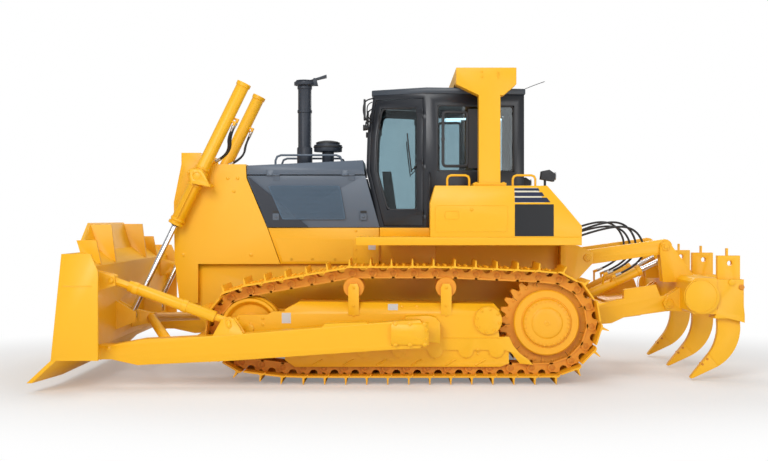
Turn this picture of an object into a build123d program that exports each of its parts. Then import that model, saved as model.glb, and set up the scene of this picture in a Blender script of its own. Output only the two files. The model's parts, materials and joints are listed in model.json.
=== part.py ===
from build123d import *

import os
from math import asin, atan2, cos, degrees, hypot, pi, radians, sin, tan

# Crawler bulldozer, millimetres. +X forward, +Y to the machine's left, +Z up; the origin is on the
# ground under the middle of the overall length. Every size below can be set by itself.

# Running gear
TRACK_GAUGE = 2000
SHOE_WIDTH = 560
SHOES = 41
GROUSER = 72
SHOE_THICKNESS = 17
LINK_TO_SHOE = 60          # pin line to the inner face of the shoe
LINK_TO_RAIL = 52          # pin line to the rail that the rollers run on
RAIL_WIDTH = 52
RAIL_SPREAD = 105          # rail centre from the track's centre line
SPROCKET_X = -1525
IDLER_X = 1545
SPROCKET_PIN_RADIUS = 468
SPROCKET_TEETH = 27
IDLER_PIN_RADIUS = 371
IDLER_RISE = 49            # the idler hangs this far clear of the ground line
ROLLER_XS = (1010, 685, 365, 0, -370, -685, -1000)
ROLLER_RADIUS = 95
CARRIER_XS = (471, -482)
CARRIER_Z = 985
CARRIER_RADIUS = 86
ROLLER_HALF = 150          # half the width of a roller
ROLLER_PLAY = 1.5
FRAME_HALF_WIDTH = 180
FRAME_TOP = 835
FRAME_BOTTOM = 430
SIDE_PLATE = 20
SIDE_EDGE = 343            # lower edge of the frame's side plates between their lugs
LUG_RADIUS = 80            # the round lugs over the roller ends
ROCK_GUARD_EDGE = 167
PIVOT_X = -912
PIVOT_Z = 649
PIVOT_RADIUS = 145
EQUALIZER_X = 925
EQUALIZER_Z = 680

# Hull, guard and hood
HULL_HALF_WIDTH = 440
HULL_BOTTOM = 450
HULL_FRONT = 2290
HULL_REAR = -1750
HULL_TOP = 1200
CASE_FRONT = -400          # the steering and axle case starts here
CASE_TOP = 1410
HULL_WALL = 40
GUARD_HALF_WIDTH = 520
GUARD_WALL = 40
GUARD_TOP = 2290
HOOD_HALF_WIDTH = 500
HOOD_SHEET = 20
DOOR_SHEET = 25
HOOD_BOTTOM = 1597
HOOD_REAR = 375
SEAM_Z = 2172              # hinge line of the hood's side doors
HOOD_TOP_FRONT = 2277
HOOD_TOP_REAR = 2338
HOOD_RIDGE_REAR = 400      # the top's rear edge, which leans forward
GUARD_REAR_TOP = (1671, 2137)
HOOD_HINGE_XS = (560, 1380)
HOOD_RAIL_XS = (640, 1375)
HOOD_RAIL_Y = 330
HOOD_RAIL_RISE = 62        # rail centre above the top's rear edge
ENGINE_BOX = (330, 1560, 330, 760, 1540)   # x from, x to, half width, z from, z to
STACK_X = 1080
STACK_RADIUS = 76
STACK_TOP = 3253
PRECLEANER_X = 814
PRECLEANER_RADIUS = 160

# Cab and platform
CAB_FRONT = 364
CAB_PILLAR = -290
CAB_REAR = -1354
CAB_FRONT_HALF = 430
CAB_PILLAR_HALF = 720
CAB_REAR_HALF = 590
CAB_FLOOR = 1598
CAB_WAIST = 2221           # the windscreen leans back below here
CAB_BREAK = 2595           # and more steeply above here
CAB_ROOF = 3040
WINDOW_BOTTOM = 2203
WINDOW_TOP = 2920
PANE_PLAY = 2              # a pane's edge to its opening
PANE_THICKNESS = 8
ROOF_THICKNESS = 65
CAB_WALL = 50
DECK_TOP = 1597
DECK_HALF_WIDTH = 755
FENDER_OUTER = 1150
FENDER_Z = 1480
FENDER_SHEET = 24
BOX_INNER = DECK_HALF_WIDTH + 10
BOX_FRONT = -319
BOX_REAR = -1885
BOX_TOP = 2038
BOX_CREASE = 1859          # the box's outer side leans in above here
RAIL_RADIUS = 13
ROPS_X = -942
ROPS_Y = 950
ROPS_DEPTH = 225
ROPS_WIDTH = 180
ROPS_BEAM = 137            # depth of the cross beam
ROPS_CLEARANCE = 30        # cab roof to cross beam

# Blade and its arms
BLADE_HALF_WIDTH = 1820
BLADE_CENTRE_HALF = 1244
BLADE_TOP = 1353
BLADE_BOTTOM = 318
BLADE_AHEAD = 1500         # idler axle to the blade's rear plane
BLADE_WING_SHIFT = 110
END_PLATE = 40
EDGE_TIP_Z = 100
ARM_Y = 1460
ARM_WIDTH = 180
ARM_DEPTH = 255
ARM_REAR = (75, 520)
TRUNNION = (-146, 546)
TRUNNION_RADIUS = 75
BRACE_FOOT = (1707, 660)
BRACE_RADIUS = 58
BRACE_PIN = 25.5
LIFT_Y = 620
YOKE = (2173, 2150)
YOKE_WALL = 20             # lift tube to the yoke's plates
LIFT_TUBE_RADIUS = 72
LIFT_TUBE_TOP = 1124       # from the yoke's centre up along the tube
LIFT_TUBE_BOTTOM = 577     # and down
LIFT_ROD_RADIUS = 31
BLADE_REAR = IDLER_X + BLADE_AHEAD
ARM_FRONT = (BLADE_REAR - 141, 366)
BRACE_HEAD = (BLADE_REAR - 171, 1080)
LIFT_EYE = (BLADE_REAR - 140, 650)
BALL = (BLADE_REAR - 155, 570)
DIAGONAL_END = (BLADE_REAR - 695, 465)

# Ripper: a parallelogram of lower arm, upper links and beam
RIP_ARM_REACH = 855
RIP_LOWER_FRONT = (HULL_REAR - 311, 657)
RIP_LOWER_REAR = (RIP_LOWER_FRONT[0] - RIP_ARM_REACH, 776)
RIP_UPPER_FRONT = (HULL_REAR - 315, 1269)
RIP_CYL_BASE = (HULL_REAR - 235, 780)
RIP_CYL_EYE = (RIP_LOWER_REAR[0] - 89, 1270)
RIP_CYL_Y = 230
RIP_CYL_RADIUS = 56
RIP_ROD_RADIUS = 30
RIP_LINK_Y = 400
RIP_ARM_Y = 540
RIP_BEAM_HALF = 1080
SHANK_YS = (950, 0, -950)
SHANK_THICKNESS = 70
SHANK_X = RIP_LOWER_REAR[0] - 655    # rear face of a shank
SHANK_HOLE = (SHANK_X + 108, 1228)
SHANK_HOLE_RADIUS = 28

HOSE_RADIUS = 12
HOSE_PORT_RADIUS = 16

# Two hoses for each lift tube, as points (up the tube from the yoke, behind its axis, across).
LIFT_HOSES = ([(233, 68, 460), (310, 125, 470), (420, 150, 560), (520, 100, 636), (650, 100, 636)],
              [(233, 68, 415), (310, 125, 425), (430, 160, 510), (550, 105, 592), (690, 105, 592)])
# Two hoses from the fuel tank's rear over to each ripper tube, as (x, y, z).
RIPPER_HOSES = ([(-1935, 310, 1530), (-2220, 314, 1655), (-2520, 314, 1655), (-2660, 312, 1400),
                 (-2545, 310, 1185), (-2325, 310, 1095)],
                [(-1935, 340, 1480), (-2270, 340, 1600), (-2600, 341, 1610), (-2740, 340, 1370),
                 (-2630, 338, 1165), (-2410, 338, 1070)])
HINGE_OUT = 12             # a door's hinge line stands this far off its outer face
HINGE_RADIUS = 9
MOVING_GAP = 6
PIN_GAP = 0.5
PIN_RADIUS = 40


# ---- helpers ------------------------------------------------------------------------------------

def prism(points, y0, y1):
    """An outline of (x, z) points carried across the machine from y0 to y1."""
    face = make_face(Polyline(*[(x, y0, z) for x, z in points], close=True))
    return extrude(face, amount=y1 - y0, dir=(0, 1, 0))


def plan(points, z0, z1):
    """An outline of (x, y) points carried upwards from z0 to z1."""
    face = make_face(Polyline(*[(x, y, z0) for x, y in points], close=True))
    return extrude(face, amount=z1 - z0, dir=(0, 0, 1))


def block(x0, x1, y0, y1, z0, z1):
    """A box given by its six faces."""
    size = Box(x1 - x0, y1 - y0, z1 - z0)
    return Pos((x0 + x1) / 2, (y0 + y1) / 2, (z0 + z1) / 2) * size


def bar(start, end, radius, sides=0):
    """A round bar between two points, or a many-sided one where few faces are enough."""
    start, end = Vector(*start), Vector(*end)
    along = Plane(origin=start, z_dir=end - start)
    if sides:
        return extrude(along * RegularPolygon(radius, sides), amount=(end - start).length)
    return along * Cylinder(radius, (end - start).length, align=(Align.CENTER, Align.CENTER, Align.MIN))


def drum(centre, y0, y1, radius, sides=0):
    """A bar along Y about an (x, z) centre."""
    return bar((centre[0], y0, centre[1]), (centre[0], y1, centre[1]), radius, sides)


def bore(centre, y0, y1, radius, sides=12):
    """A many-sided cutter along Y whose flats clear a pin of the given radius."""
    return drum(centre, y0, y1, (radius + PIN_GAP) / cos(pi / sides), sides)


def section(points, x0, x1):
    """An outline of (y, z) points carried along the machine from x0 to x1."""
    face = make_face(Polyline(*[(x0, y, z) for y, z in points], close=True))
    return extrude(face, amount=x1 - x0, dir=(1, 0, 0))


def hose(points):
    """A six-sided tube along straight runs joined by arcs, each as large as its two runs allow."""
    corners = [Vector(*point) for point in points]
    radii = []
    for before, corner, after in zip(corners, corners[1:], corners[2:]):
        half_turn = radians((corner - before).get_angle(after - corner)) / 2
        shorter = min((corner - before).length, (after - corner).length)
        radii.append(0.45 * shorter / tan(half_turn))
    path = FilletPolyline(*corners, radius=radii)
    start = Plane(origin=corners[0], z_dir=corners[1] - corners[0])
    tube = sweep(start * RegularPolygon(HOSE_RADIUS, 6), path=path)
    hexagon = 1.5 * 3 ** 0.5 * HOSE_RADIUS ** 2
    print(f"hose {path.length:.0f} long, tightest bend {min(radii):.0f},",
          f"volume share {tube.volume / hexagon / path.length:.4f}")
    return tube


def hose_port(end, neighbour, reach):
    """The pipe that a hose starts or ends in, in line with its run there."""
    end, neighbour = Vector(*end), Vector(*neighbour)
    foot = end + (end - neighbour).normalized() * reach
    return bar((end.X, end.Y, end.Z), (foot.X, foot.Y, foot.Z), HOSE_PORT_RADIUS, 6)


def both(shape):
    """The shape and its mirror image on the machine's other side."""
    return Compound([*shape.solids(), *mirror(shape, about=Plane.XZ).solids()])


def on_side(shape, side):
    """The left-hand shape for side 1, its mirror image for side -1."""
    return shape if side == 1 else mirror(shape, about=Plane.XZ)


def save(name, shape):
    """Write one node."""
    solids = shape.solids()
    whole = solids[0] if len(solids) == 1 else Compound(list(solids))
    export_step(whole, f"parts/{name}.step")


SIDES = (("left", 1), ("right", -1))
os.makedirs("parts", exist_ok=True)


# ---- tracks -------------------------------------------------------------------------------------

PIN_Z = GROUSER + SHOE_THICKNESS + LINK_TO_SHOE          # pin line of the run on the ground
ROLLER_Z = PIN_Z + LINK_TO_RAIL + ROLLER_RADIUS
SPROCKET = (SPROCKET_X, PIN_Z + SPROCKET_PIN_RADIUS)
IDLER = (IDLER_X, PIN_Z + IDLER_RISE + IDLER_PIN_RADIUS)
CARRIER_PIN_RADIUS = CARRIER_RADIUS + LINK_TO_RAIL + 9


def chain_runs():
    """The pin line round the wheels as straights and arcs, from the sprocket forward along the ground."""
    wheels = [(*SPROCKET, SPROCKET_PIN_RADIUS), (ROLLER_XS[0] + 130, ROLLER_Z, ROLLER_Z - PIN_Z),
              (*IDLER, IDLER_PIN_RADIUS)]
    wheels += [(x, CARRIER_Z, CARRIER_PIN_RADIUS) for x in CARRIER_XS]
    heads = []
    for (x0, z0, r0), (x1, z1, r1) in zip(wheels, wheels[1:] + wheels[:1]):
        heads.append(atan2(z1 - z0, x1 - x0) + asin((r0 - r1) / hypot(x1 - x0, z1 - z0)))
    runs = []
    for i, (x, z, r) in enumerate(wheels):
        first, last = heads[i - 1], heads[i]
        turn = (last - first) % (2 * pi)
        runs.append(("arc", x, z, r, first, turn, r * turn))
        x1, z1, r1 = wheels[(i + 1) % len(wheels)]
        start = (x + r * sin(last), z - r * cos(last))
        end = (x1 + r1 * sin(last), z1 - r1 * cos(last))
        runs.append(("line", *start, 0, last, 0, hypot(end[0] - start[0], end[1] - start[1])))
    return runs


def chain_pins():
    """The places of the pins, evenly spaced along the pin line."""
    runs = chain_runs()
    pitch = sum(run[-1] for run in runs) / SHOES
    pins, run, passed = [], 0, 0
    for i in range(SHOES):
        s = (i + 0.5) * pitch
        while s > passed + runs[run][-1]:
            passed += runs[run][-1]
            run += 1
        kind, x, z, r, head, turn, length = runs[run]
        if kind == "arc":
            at = head + turn * (s - passed) / length
            pins.append((x + r * sin(at), z - r * cos(at)))
        else:
            pins.append((x + (s - passed) * cos(head), z + (s - passed) * sin(head)))
    return pins


def offset_pins(pins, out):
    """The pin polygon moved outwards by a distance, corner by corner."""
    moved = []
    for i, (x, z) in enumerate(pins):
        before, after = pins[i - 1], pins[(i + 1) % len(pins)]
        a = atan2(z - before[1], x - before[0])
        b = atan2(after[1] - z, after[0] - x)
        half = ((b - a + pi) % (2 * pi) - pi) / 2
        reach = out / cos(half)
        moved.append((x + reach * sin(a + half), z - reach * cos(a + half)))
    return moved


def link_points(pins, local):
    """For each link, points given as (share of its length from the middle, distance outwards)."""
    points = []
    for (x0, z0), (x1, z1) in zip(pins, pins[1:] + pins[:1]):
        along = hypot(x1 - x0, z1 - z0)
        tx, tz = (x1 - x0) / along, (z1 - z0) / along
        for share, out in local:
            u = (share + 0.5) * along
            points.append((x0 + tx * u + tz * out, z0 + tz * u - tx * out))
    return points


def make_track():
    """One chain of shoes on two link rails, about y = 0."""
    pins = chain_pins()
    face = LINK_TO_SHOE + SHOE_THICKNESS
    tip = face + GROUSER
    shoe = [(0.36, face), (0.39, tip), (0.44, tip), (0.48, face)]
    outer = link_points(pins, shoe)
    half = SHOE_WIDTH / 2
    band = prism(outer, -half, half) - prism(offset_pins(pins, LINK_TO_SHOE), -half, half)
    window = [(-0.24, LINK_TO_SHOE + 5), (-0.15, 18), (0.15, 18), (0.24, LINK_TO_SHOE + 5)]
    rail_outer = link_points(pins, window)
    rail_inner = offset_pins(pins, -LINK_TO_RAIL)
    for side in (1, -1):
        y0 = side * RAIL_SPREAD - RAIL_WIDTH / 2
        band += prism(rail_outer, y0, y0 + RAIL_WIDTH) - prism(rail_inner, y0, y0 + RAIL_WIDTH)
    return band


TRACK_Y = TRACK_GAUGE / 2
track = make_track()
for name, side in SIDES:
    save(f"track_{name}", Pos(0, side * TRACK_Y, 0) * track)


# ---- wheels inside the tracks -------------------------------------------------------------------

DRIVE_CORE = 240            # the final drive's hub inside the toothed ring


def make_sprocket():
    """The toothed ring between the rails."""
    ring = []
    for i in range(SPROCKET_TEETH):
        for share, radius in ((-0.34, 0.94), (-0.12, 1.055), (0.12, 1.055), (0.34, 0.94)):
            at = 2 * pi * (i + share) / SPROCKET_TEETH
            reach = radius * SPROCKET_PIN_RADIUS
            ring.append((SPROCKET[0] + reach * sin(at), SPROCKET[1] - reach * cos(at)))
    core = drum(SPROCKET, TRACK_Y - 60, TRACK_Y + 60, DRIVE_CORE + PIN_GAP, 24)
    return prism(ring, TRACK_Y - 50, TRACK_Y + 50) - core


def make_final_drive():
    """Axle housing, reduction case and hub cover in one line."""
    # y from, y to, radius, sides
    steps = ((HULL_HALF_WIDTH, TRACK_Y - 240, 215, 12), (TRACK_Y - 240, TRACK_Y - 50, 330, 24),
             (TRACK_Y - 50, TRACK_Y + 50, DRIVE_CORE, 24), (TRACK_Y + 50, TRACK_Y + 110, 340, 24),
             (TRACK_Y + 110, TRACK_Y + 150, 250, 24), (TRACK_Y + 150, TRACK_Y + 170, 150, 12))
    shape = drum(SPROCKET, *steps[0])
    for step in steps[1:]:
        shape += drum(SPROCKET, *step)
    return shape


IDLER_TREAD = IDLER_PIN_RADIUS * cos(pi * 216 / (2 * pi * IDLER_PIN_RADIUS)) - LINK_TO_RAIL - 2


def make_idler():
    """A rim with a raised middle flange, a dished web and a hub on its axle."""
    sides = 20
    rim = drum(IDLER, TRACK_Y - 132, TRACK_Y + 132, IDLER_TREAD, sides)
    rim += drum(IDLER, TRACK_Y - 72, TRACK_Y + 72, IDLER_TREAD + 22, sides)
    for side in (1, -1):
        rim -= drum(IDLER, TRACK_Y + side * 60, TRACK_Y + side * 160, IDLER_TREAD - 45, sides)
        rim += drum(IDLER, TRACK_Y + side * 60, TRACK_Y + side * 134, 85, 8)
    return rim


def make_roller(centre, radius):
    """A roller, seen only between the plates that carry it."""
    return drum(centre, TRACK_Y - ROLLER_HALF, TRACK_Y + ROLLER_HALF, radius, 10)


save("sprockets", both(make_sprocket()))
save("final_drives", both(make_final_drive()))
save("idlers", both(make_idler()))
rollers = [make_roller((x, ROLLER_Z), ROLLER_RADIUS - ROLLER_PLAY) for x in ROLLER_XS]
rollers += [make_roller((x, CARRIER_Z), CARRIER_RADIUS) for x in CARRIER_XS]
save("rollers", both(Compound([s for roller in rollers for s in roller.solids()])))


# ---- track frames -------------------------------------------------------------------------------

def side_plate():
    """The frame's outer plate below its box: a tail under the sprocket, then a lug over each roller."""
    x, z = SPROCKET
    reach = 420
    points = [(x + reach * cos(radians(a)), z - reach * sin(radians(a))) for a in (19, 34, 48, 62)]
    points += [(x + 148, z - 427), (x + 285, z - 414), (x + 377, z - 297)]
    for roller in sorted(ROLLER_XS):
        for turn in range(0, 181, 30):
            lug = radians(turn)
            points.append((roller - LUG_RADIUS * cos(lug), SIDE_EDGE - LUG_RADIUS * sin(lug)))
    return points + [(ROLLER_XS[0] + 130, SIDE_EDGE), (ROLLER_XS[0] + 130, FRAME_BOTTOM + 10)]


def make_track_frame():
    """The left box frame with its roller guards, idler yoke, carrier posts and arm trunnion."""
    inner, outer = TRACK_Y - FRAME_HALF_WIDTH, TRACK_Y + FRAME_HALF_WIDTH
    side = [(1180, 560), (1180, 760), (1040, FRAME_TOP), (-980, FRAME_TOP - 20), (-1130, 640),
            (-1130, FRAME_BOTTOM), (1120, FRAME_BOTTOM)]
    frame = prism(side, inner, outer)
    bevel = 75
    edge = [(outer + 1, FRAME_TOP - 95), (outer + 1, FRAME_TOP + 5), (outer - bevel, FRAME_TOP + 5)]
    frame -= section(edge, -1140, 1190)
    frame -= drum(SPROCKET, inner - 10, outer + 10, SPROCKET_PIN_RADIUS * 1.055 + 20, 24)
    frame += prism(side_plate(), outer - SIDE_PLATE, outer)
    x0, x1 = ROLLER_XS[-1] - 130, ROLLER_XS[0] + 130
    frame += block(x0, x1, inner, inner + SIDE_PLATE, SIDE_EDGE - 60, FRAME_BOTTOM + 10)
    rock_guard = [(x0, ROCK_GUARD_EDGE + 36), (x0 + 90, ROCK_GUARD_EDGE), (x1 - 60, ROCK_GUARD_EDGE),
                  (x1 + 40, ROCK_GUARD_EDGE + 70), (x1 + 40, FRAME_BOTTOM + 10), (x0, FRAME_BOTTOM + 10)]
    for y0, y1 in ((inner + SIDE_PLATE, TRACK_Y - ROLLER_HALF), (TRACK_Y + ROLLER_HALF, outer - SIDE_PLATE)):
        frame += prism(rock_guard, y0, y1)
    for x in CARRIER_XS:
        post = [(x - 55, FRAME_TOP - 130), (x - 55, CARRIER_Z), (x - 35, CARRIER_Z + 42),
                (x + 35, CARRIER_Z + 42), (x + 55, CARRIER_Z), (x + 55, FRAME_TOP - 130)]
        frame += prism(post, TRACK_Y + ROLLER_HALF, outer + 10)
    for y0 in (inner, outer - 42):
        yoke = [(1150, 470), (1150, 740), (IDLER[0] - 245, IDLER[1] + 171), (IDLER[0] - 185, IDLER[1] + 138),
                (IDLER[0] + 115, IDLER[1] + 138), (IDLER[0] + 149, IDLER[1] + 71),
                (IDLER[0] + 149, IDLER[1] - 69), (IDLER[0] + 95, IDLER[1] - 109)]
        frame += prism(yoke, y0, y0 + 42)
    for y0, y1 in ((inner - 20, TRACK_Y - 134), (TRACK_Y + 134, outer + 20)):
        frame += drum(IDLER, y0, y1, 49, 8)
    frame += drum((PIVOT_X, PIVOT_Z), outer, outer + 28, PIVOT_RADIUS, 20)
    x, z = TRUNNION
    web = [(x - 266, z - 109), (x - 266, z + 94), (x - 225, z + 145), (x - 150, z + 165), (x + 80, z + 154),
           (x + 170, z - 86)]
    frame += prism(web, outer, ARM_Y - ARM_WIDTH / 2 - 20)
    frame += drum(TRUNNION, outer, ARM_Y + ARM_WIDTH / 2 - 20, TRUNNION_RADIUS)
    return frame


save("track_frames", both(make_track_frame()))


# ---- hull ---------------------------------------------------------------------------------------

def make_hull():
    """Side beams, belly plate and front crossmember ahead of the solid steering and axle case."""
    half = HULL_HALF_WIDTH
    nose = [(CASE_FRONT, HULL_BOTTOM), (HULL_FRONT - 250, HULL_BOTTOM), (HULL_FRONT, HULL_BOTTOM + 230),
            (HULL_FRONT, HULL_TOP), (CASE_FRONT, HULL_TOP)]
    hull = prism(nose, -half, half)
    hull -= block(CASE_FRONT - 1, HULL_FRONT - 60, -half + HULL_WALL, half - HULL_WALL,
                  HULL_BOTTOM + HULL_WALL, HULL_TOP + 1)
    case = [(CASE_FRONT, HULL_BOTTOM), (CASE_FRONT, CASE_TOP), (HULL_REAR, CASE_TOP),
            (HULL_REAR, HULL_BOTTOM + 120), (HULL_REAR + 160, HULL_BOTTOM)]
    hull += prism(case, -half, half)
    hull -= block(EQUALIZER_X - 75, EQUALIZER_X + 75, -half - 1, half + 1, EQUALIZER_Z - 75, EQUALIZER_Z + 75)
    return hull


save("main_frame", make_hull())
pivot = drum((PIVOT_X, PIVOT_Z), HULL_HALF_WIDTH, TRACK_Y - FRAME_HALF_WIDTH, 85, 16)
save("pivot_shaft", both(pivot))
inner_side = TRACK_Y - FRAME_HALF_WIDTH
bar_outline = [(EQUALIZER_X - 65, EQUALIZER_Z - 60), (EQUALIZER_X + 65, EQUALIZER_Z - 60),
               (EQUALIZER_X + 65, EQUALIZER_Z + 60), (EQUALIZER_X - 65, EQUALIZER_Z + 60)]
save("equalizer_bar", prism(bar_outline, -inner_side, inner_side))
x0, x1, half, z0, z1 = ENGINE_BOX
save("engine", block(x0, x1, -half, half, z0, z1))


# ---- lift cylinder lines ------------------------------------------------------------------------

LIFT_LENGTH = hypot(LIFT_EYE[0] - YOKE[0], LIFT_EYE[1] - YOKE[1])
down = ((LIFT_EYE[0] - YOKE[0]) / LIFT_LENGTH, (LIFT_EYE[1] - YOKE[1]) / LIFT_LENGTH)


def on_lift(distance):
    """A point on the left lift cylinder's line, measured from the yoke towards the rod's eye."""
    return (YOKE[0] + down[0] * distance, LIFT_Y, YOKE[1] + down[1] * distance)


def beside_lift(up, back, y):
    """A point so far up the left lift tube from the yoke, so far behind its axis, at a place across."""
    return (YOKE[0] - down[0] * up + down[1] * back, y, YOKE[1] - down[1] * up - down[0] * back)


# ---- radiator guard -----------------------------------------------------------------------------

GUARD_OUTLINE = [(2400, 775), (2455, 1240), (2464, 1876), (2381, GUARD_TOP), (1680, GUARD_TOP),
                 (1671, 2137), (1445, HOOD_BOTTOM), (1302, HULL_TOP), (2200, HULL_TOP), (2200, 775)]


def make_yoke():
    """The left cradle for the lift cylinder's trunnion, carried on the guard's side."""
    x, z = YOKE
    inner = LIFT_Y - LIFT_TUBE_RADIUS - YOKE_WALL
    outer = LIFT_Y + LIFT_TUBE_RADIUS + YOKE_WALL
    foot = [(x - 150, z - 115), (x + 110, z - 115), (x + 150, z + 60), (x + 60, z + 120), (x - 120, z + 120)]
    yoke = prism(foot, GUARD_HALF_WIDTH, inner)
    ear = [(x - 150, z - 115), (x + 60, z - 75), (x + 75, z + 75), (x - 60, z + 75)]
    yoke += prism(ear, outer, outer + 45)
    bridge = [(x - 150, z - 115), (x - 70, z - 115), (x - 75, z - 80), (x - 140, z - 80)]
    yoke += prism(bridge, inner, outer)
    return yoke - bore(YOKE, inner - 15, outer + 60, PIN_RADIUS)


def make_guard():
    """Two side plates, a roof, and a front frame round the grille."""
    half, wall = GUARD_HALF_WIDTH, GUARD_WALL
    guard = prism(GUARD_OUTLINE, -half, half)
    hollow = [(2300, 1000), (2340, 2130), (2300, GUARD_TOP - wall), (1600, GUARD_TOP - wall), (1250, 1150),
              (2190, 1150)]
    guard -= prism(hollow, -half + wall, half - wall)
    guard -= block(2250, 2500, -380, 380, 1010, 2120)
    nose = HULL_HALF_WIDTH
    guard -= block(HULL_FRONT - 1000, HULL_FRONT + MOVING_GAP, -nose, nose, 700, HULL_TOP)
    cap = [(2140, GUARD_TOP), (2381, GUARD_TOP), (2381, 2415), (2170, 2415)]
    guard += prism(cap, -half, half)
    yoke = make_yoke()
    ports = [hose_port(beside_lift(*route[0]), beside_lift(*route[1]), 105) for route in LIFT_HOSES]
    guard += yoke + mirror(yoke, about=Plane.XZ)
    guard -= bore(YOKE, -half - 10, half + 10, PIN_RADIUS)
    for port in ports:
        guard += port + mirror(port, about=Plane.XZ)
    return guard


save("radiator_guard", make_guard())
core = block(2130, 2225, -HULL_HALF_WIDTH - 30, HULL_HALF_WIDTH + 30, HULL_TOP, 2180)
save("radiator_core", core)


def make_grille():
    """A frame of level slats across the guard's front opening."""
    frame = block(2330, 2370, -380, 380, 1010, 2120) - block(2320, 2380, -345, 345, 1045, 2085)
    slats = 10
    for i in range(slats):
        z = 1045 + (i + 0.5) * 1040 / slats
        frame += prism([(2335, z - 24), (2362, z + 6), (2362, z + 18), (2335, z - 12)], -350, 350)
    frame += block(2336, 2362, -15, 15, 1040, 2090)
    return frame


save("radiator_grille", make_grille())


# ---- hood ---------------------------------------------------------------------------------------

hood_outline = [(GUARD_REAR_TOP[0], SEAM_Z + 6), (GUARD_REAR_TOP[0], HOOD_TOP_FRONT),
                (HOOD_RIDGE_REAR, HOOD_TOP_REAR), (HOOD_REAR + 4, SEAM_Z + 6)]


def hood_leaf(x0, x1, z0, z1, sides=0):
    """One leaf of a hood door's hinge, a tab on the left panel's face with its share of the barrel."""
    half = HOOD_HALF_WIDTH
    barrel = bar((x0, half + HINGE_OUT, SEAM_Z), (x1, half + HINGE_OUT, SEAM_Z), HINGE_RADIUS, sides)
    return block(x0, x1, half, half + HINGE_OUT / 2, z0, z1) + barrel


def make_hood_top():
    """The fixed top of the hood, a shallow tray turned over, with its long edges bevelled."""
    half = HOOD_HALF_WIDTH
    shell = prism(hood_outline, -half, half)
    bevel = 45
    for side in (1, -1):
        out, inner = side * (half + 1), side * (half - bevel)
        edge = [(out, HOOD_TOP_REAR + 62), (inner, HOOD_TOP_REAR + 62), (inner, HOOD_TOP_REAR + 5),
                (out, HOOD_TOP_FRONT - 45)]
        shell -= section(edge, HOOD_REAR - 75, GUARD_REAR_TOP[0] + 129)
    front = GUARD_REAR_TOP[0] - HOOD_SHEET
    inside = [(front, SEAM_Z - 10), (front, HOOD_TOP_FRONT - 60), (HOOD_RIDGE_REAR + 20, HOOD_TOP_REAR - 60),
              (HOOD_REAR + 28, SEAM_Z - 10)]
    shell -= prism(inside, -half + HOOD_SHEET, half - HOOD_SHEET)
    for x in HOOD_HINGE_XS:
        leaf = hood_leaf(x + 3, x + 70, SEAM_Z, SEAM_Z + 54, 8)
        shell += leaf + mirror(leaf, about=Plane.XZ)
    return shell


hood_top = make_hood_top()
save("hood_top", hood_top)


def hood_surface(x):
    """The height of the hood's top at a distance along the machine."""
    fall = (HOOD_TOP_FRONT - HOOD_TOP_REAR) / (GUARD_REAR_TOP[0] - HOOD_RIDGE_REAR)
    return HOOD_TOP_REAR + (x - HOOD_RIDGE_REAR) * fall


x0, x1, high = HOOD_REAR - 175, GUARD_REAR_TOP[0] + 129, STACK_TOP + 300
above_hood = prism([(x1, hood_surface(x1)), (x1, high), (x0, high), (x0, hood_surface(x0))],
                   -HOOD_HALF_WIDTH - 100, HOOD_HALF_WIDTH + 100)


def door_line(z):
    """Where the guard's rear edge stands at a height."""
    (xa, za), (xb, zb) = GUARD_REAR_TOP, (1445, HOOD_BOTTOM)
    return xb + (xa - xb) * (z - zb) / (za - zb)


door_top = SEAM_Z - 6
hood_door = [(GUARD_REAR_TOP[0] - 8, GUARD_REAR_TOP[1]), (GUARD_REAR_TOP[0] - 8, door_top),
             (HOOD_REAR, door_top), (217, HOOD_BOTTOM + 4), (door_line(HOOD_BOTTOM + 4) - 8, HOOD_BOTTOM + 4)]


def make_hood_door():
    """The left gull-wing side door with its two hinge tabs."""
    half = HOOD_HALF_WIDTH
    door = prism(hood_door, half - DOOR_SHEET, half)
    for x, sides in zip(HOOD_HINGE_XS, (0, 8)):
        door += hood_leaf(x - 70, x - 3, SEAM_Z - 60, SEAM_Z, sides)
    return door


for name, side in SIDES:
    save(f"hood_door_{name}", on_side(make_hood_door(), side))

lower_panel = [(1440, HOOD_BOTTOM - 2), (222, HOOD_BOTTOM - 2), (222, HULL_TOP), (1298, HULL_TOP)]
panels = prism(lower_panel, HOOD_HALF_WIDTH - 25, HOOD_HALF_WIDTH)
panels += block(222, 1290, HULL_HALF_WIDTH, HOOD_HALF_WIDTH - 25, HULL_TOP, HULL_TOP + 25)
save("side_panels", both(panels))

stack = bar((STACK_X, 0, 2200), (STACK_X, 0, STACK_TOP), STACK_RADIUS, 12)
stack += bar((STACK_X, 0, 2200), (STACK_X, 0, 2500), STACK_RADIUS + 12, 12)
stack += bar((STACK_X, 0, STACK_TOP - 38), (STACK_X, 0, STACK_TOP), STACK_RADIUS + 45, 12)
stack -= bar((STACK_X, 0, 2600), (STACK_X, 0, STACK_TOP + 30), STACK_RADIUS - 8, 12)
RAIN_HINGE = (STACK_X - 118, STACK_TOP + 28)
ear = prism([(STACK_X - 150, STACK_TOP - 38), (STACK_X - 90, STACK_TOP - 38),
             (RAIN_HINGE[0] + 14, RAIN_HINGE[1] + 12), (RAIN_HINGE[0] - 14, RAIN_HINGE[1] + 12)], 52, 60)
stack += ear + mirror(ear, about=Plane.XZ) + drum(RAIN_HINGE, -60, 60, 8)
save("exhaust_stack", stack & above_hood)
flap = bar((STACK_X, 0, STACK_TOP + 6), (STACK_X, 0, STACK_TOP + 18), STACK_RADIUS + 25, 12)
flap += prism([(STACK_X - 60, STACK_TOP + 6), (STACK_X - 250, STACK_TOP + 51),
               (STACK_X - 250, STACK_TOP + 81), (STACK_X - 60, STACK_TOP + 18)], -45, 45)
flap += drum(RAIN_HINGE, -46, 46, 15, 8)
save("rain_cap", flap - bore(RAIN_HINGE, -50, 50, 8, 8))
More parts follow.
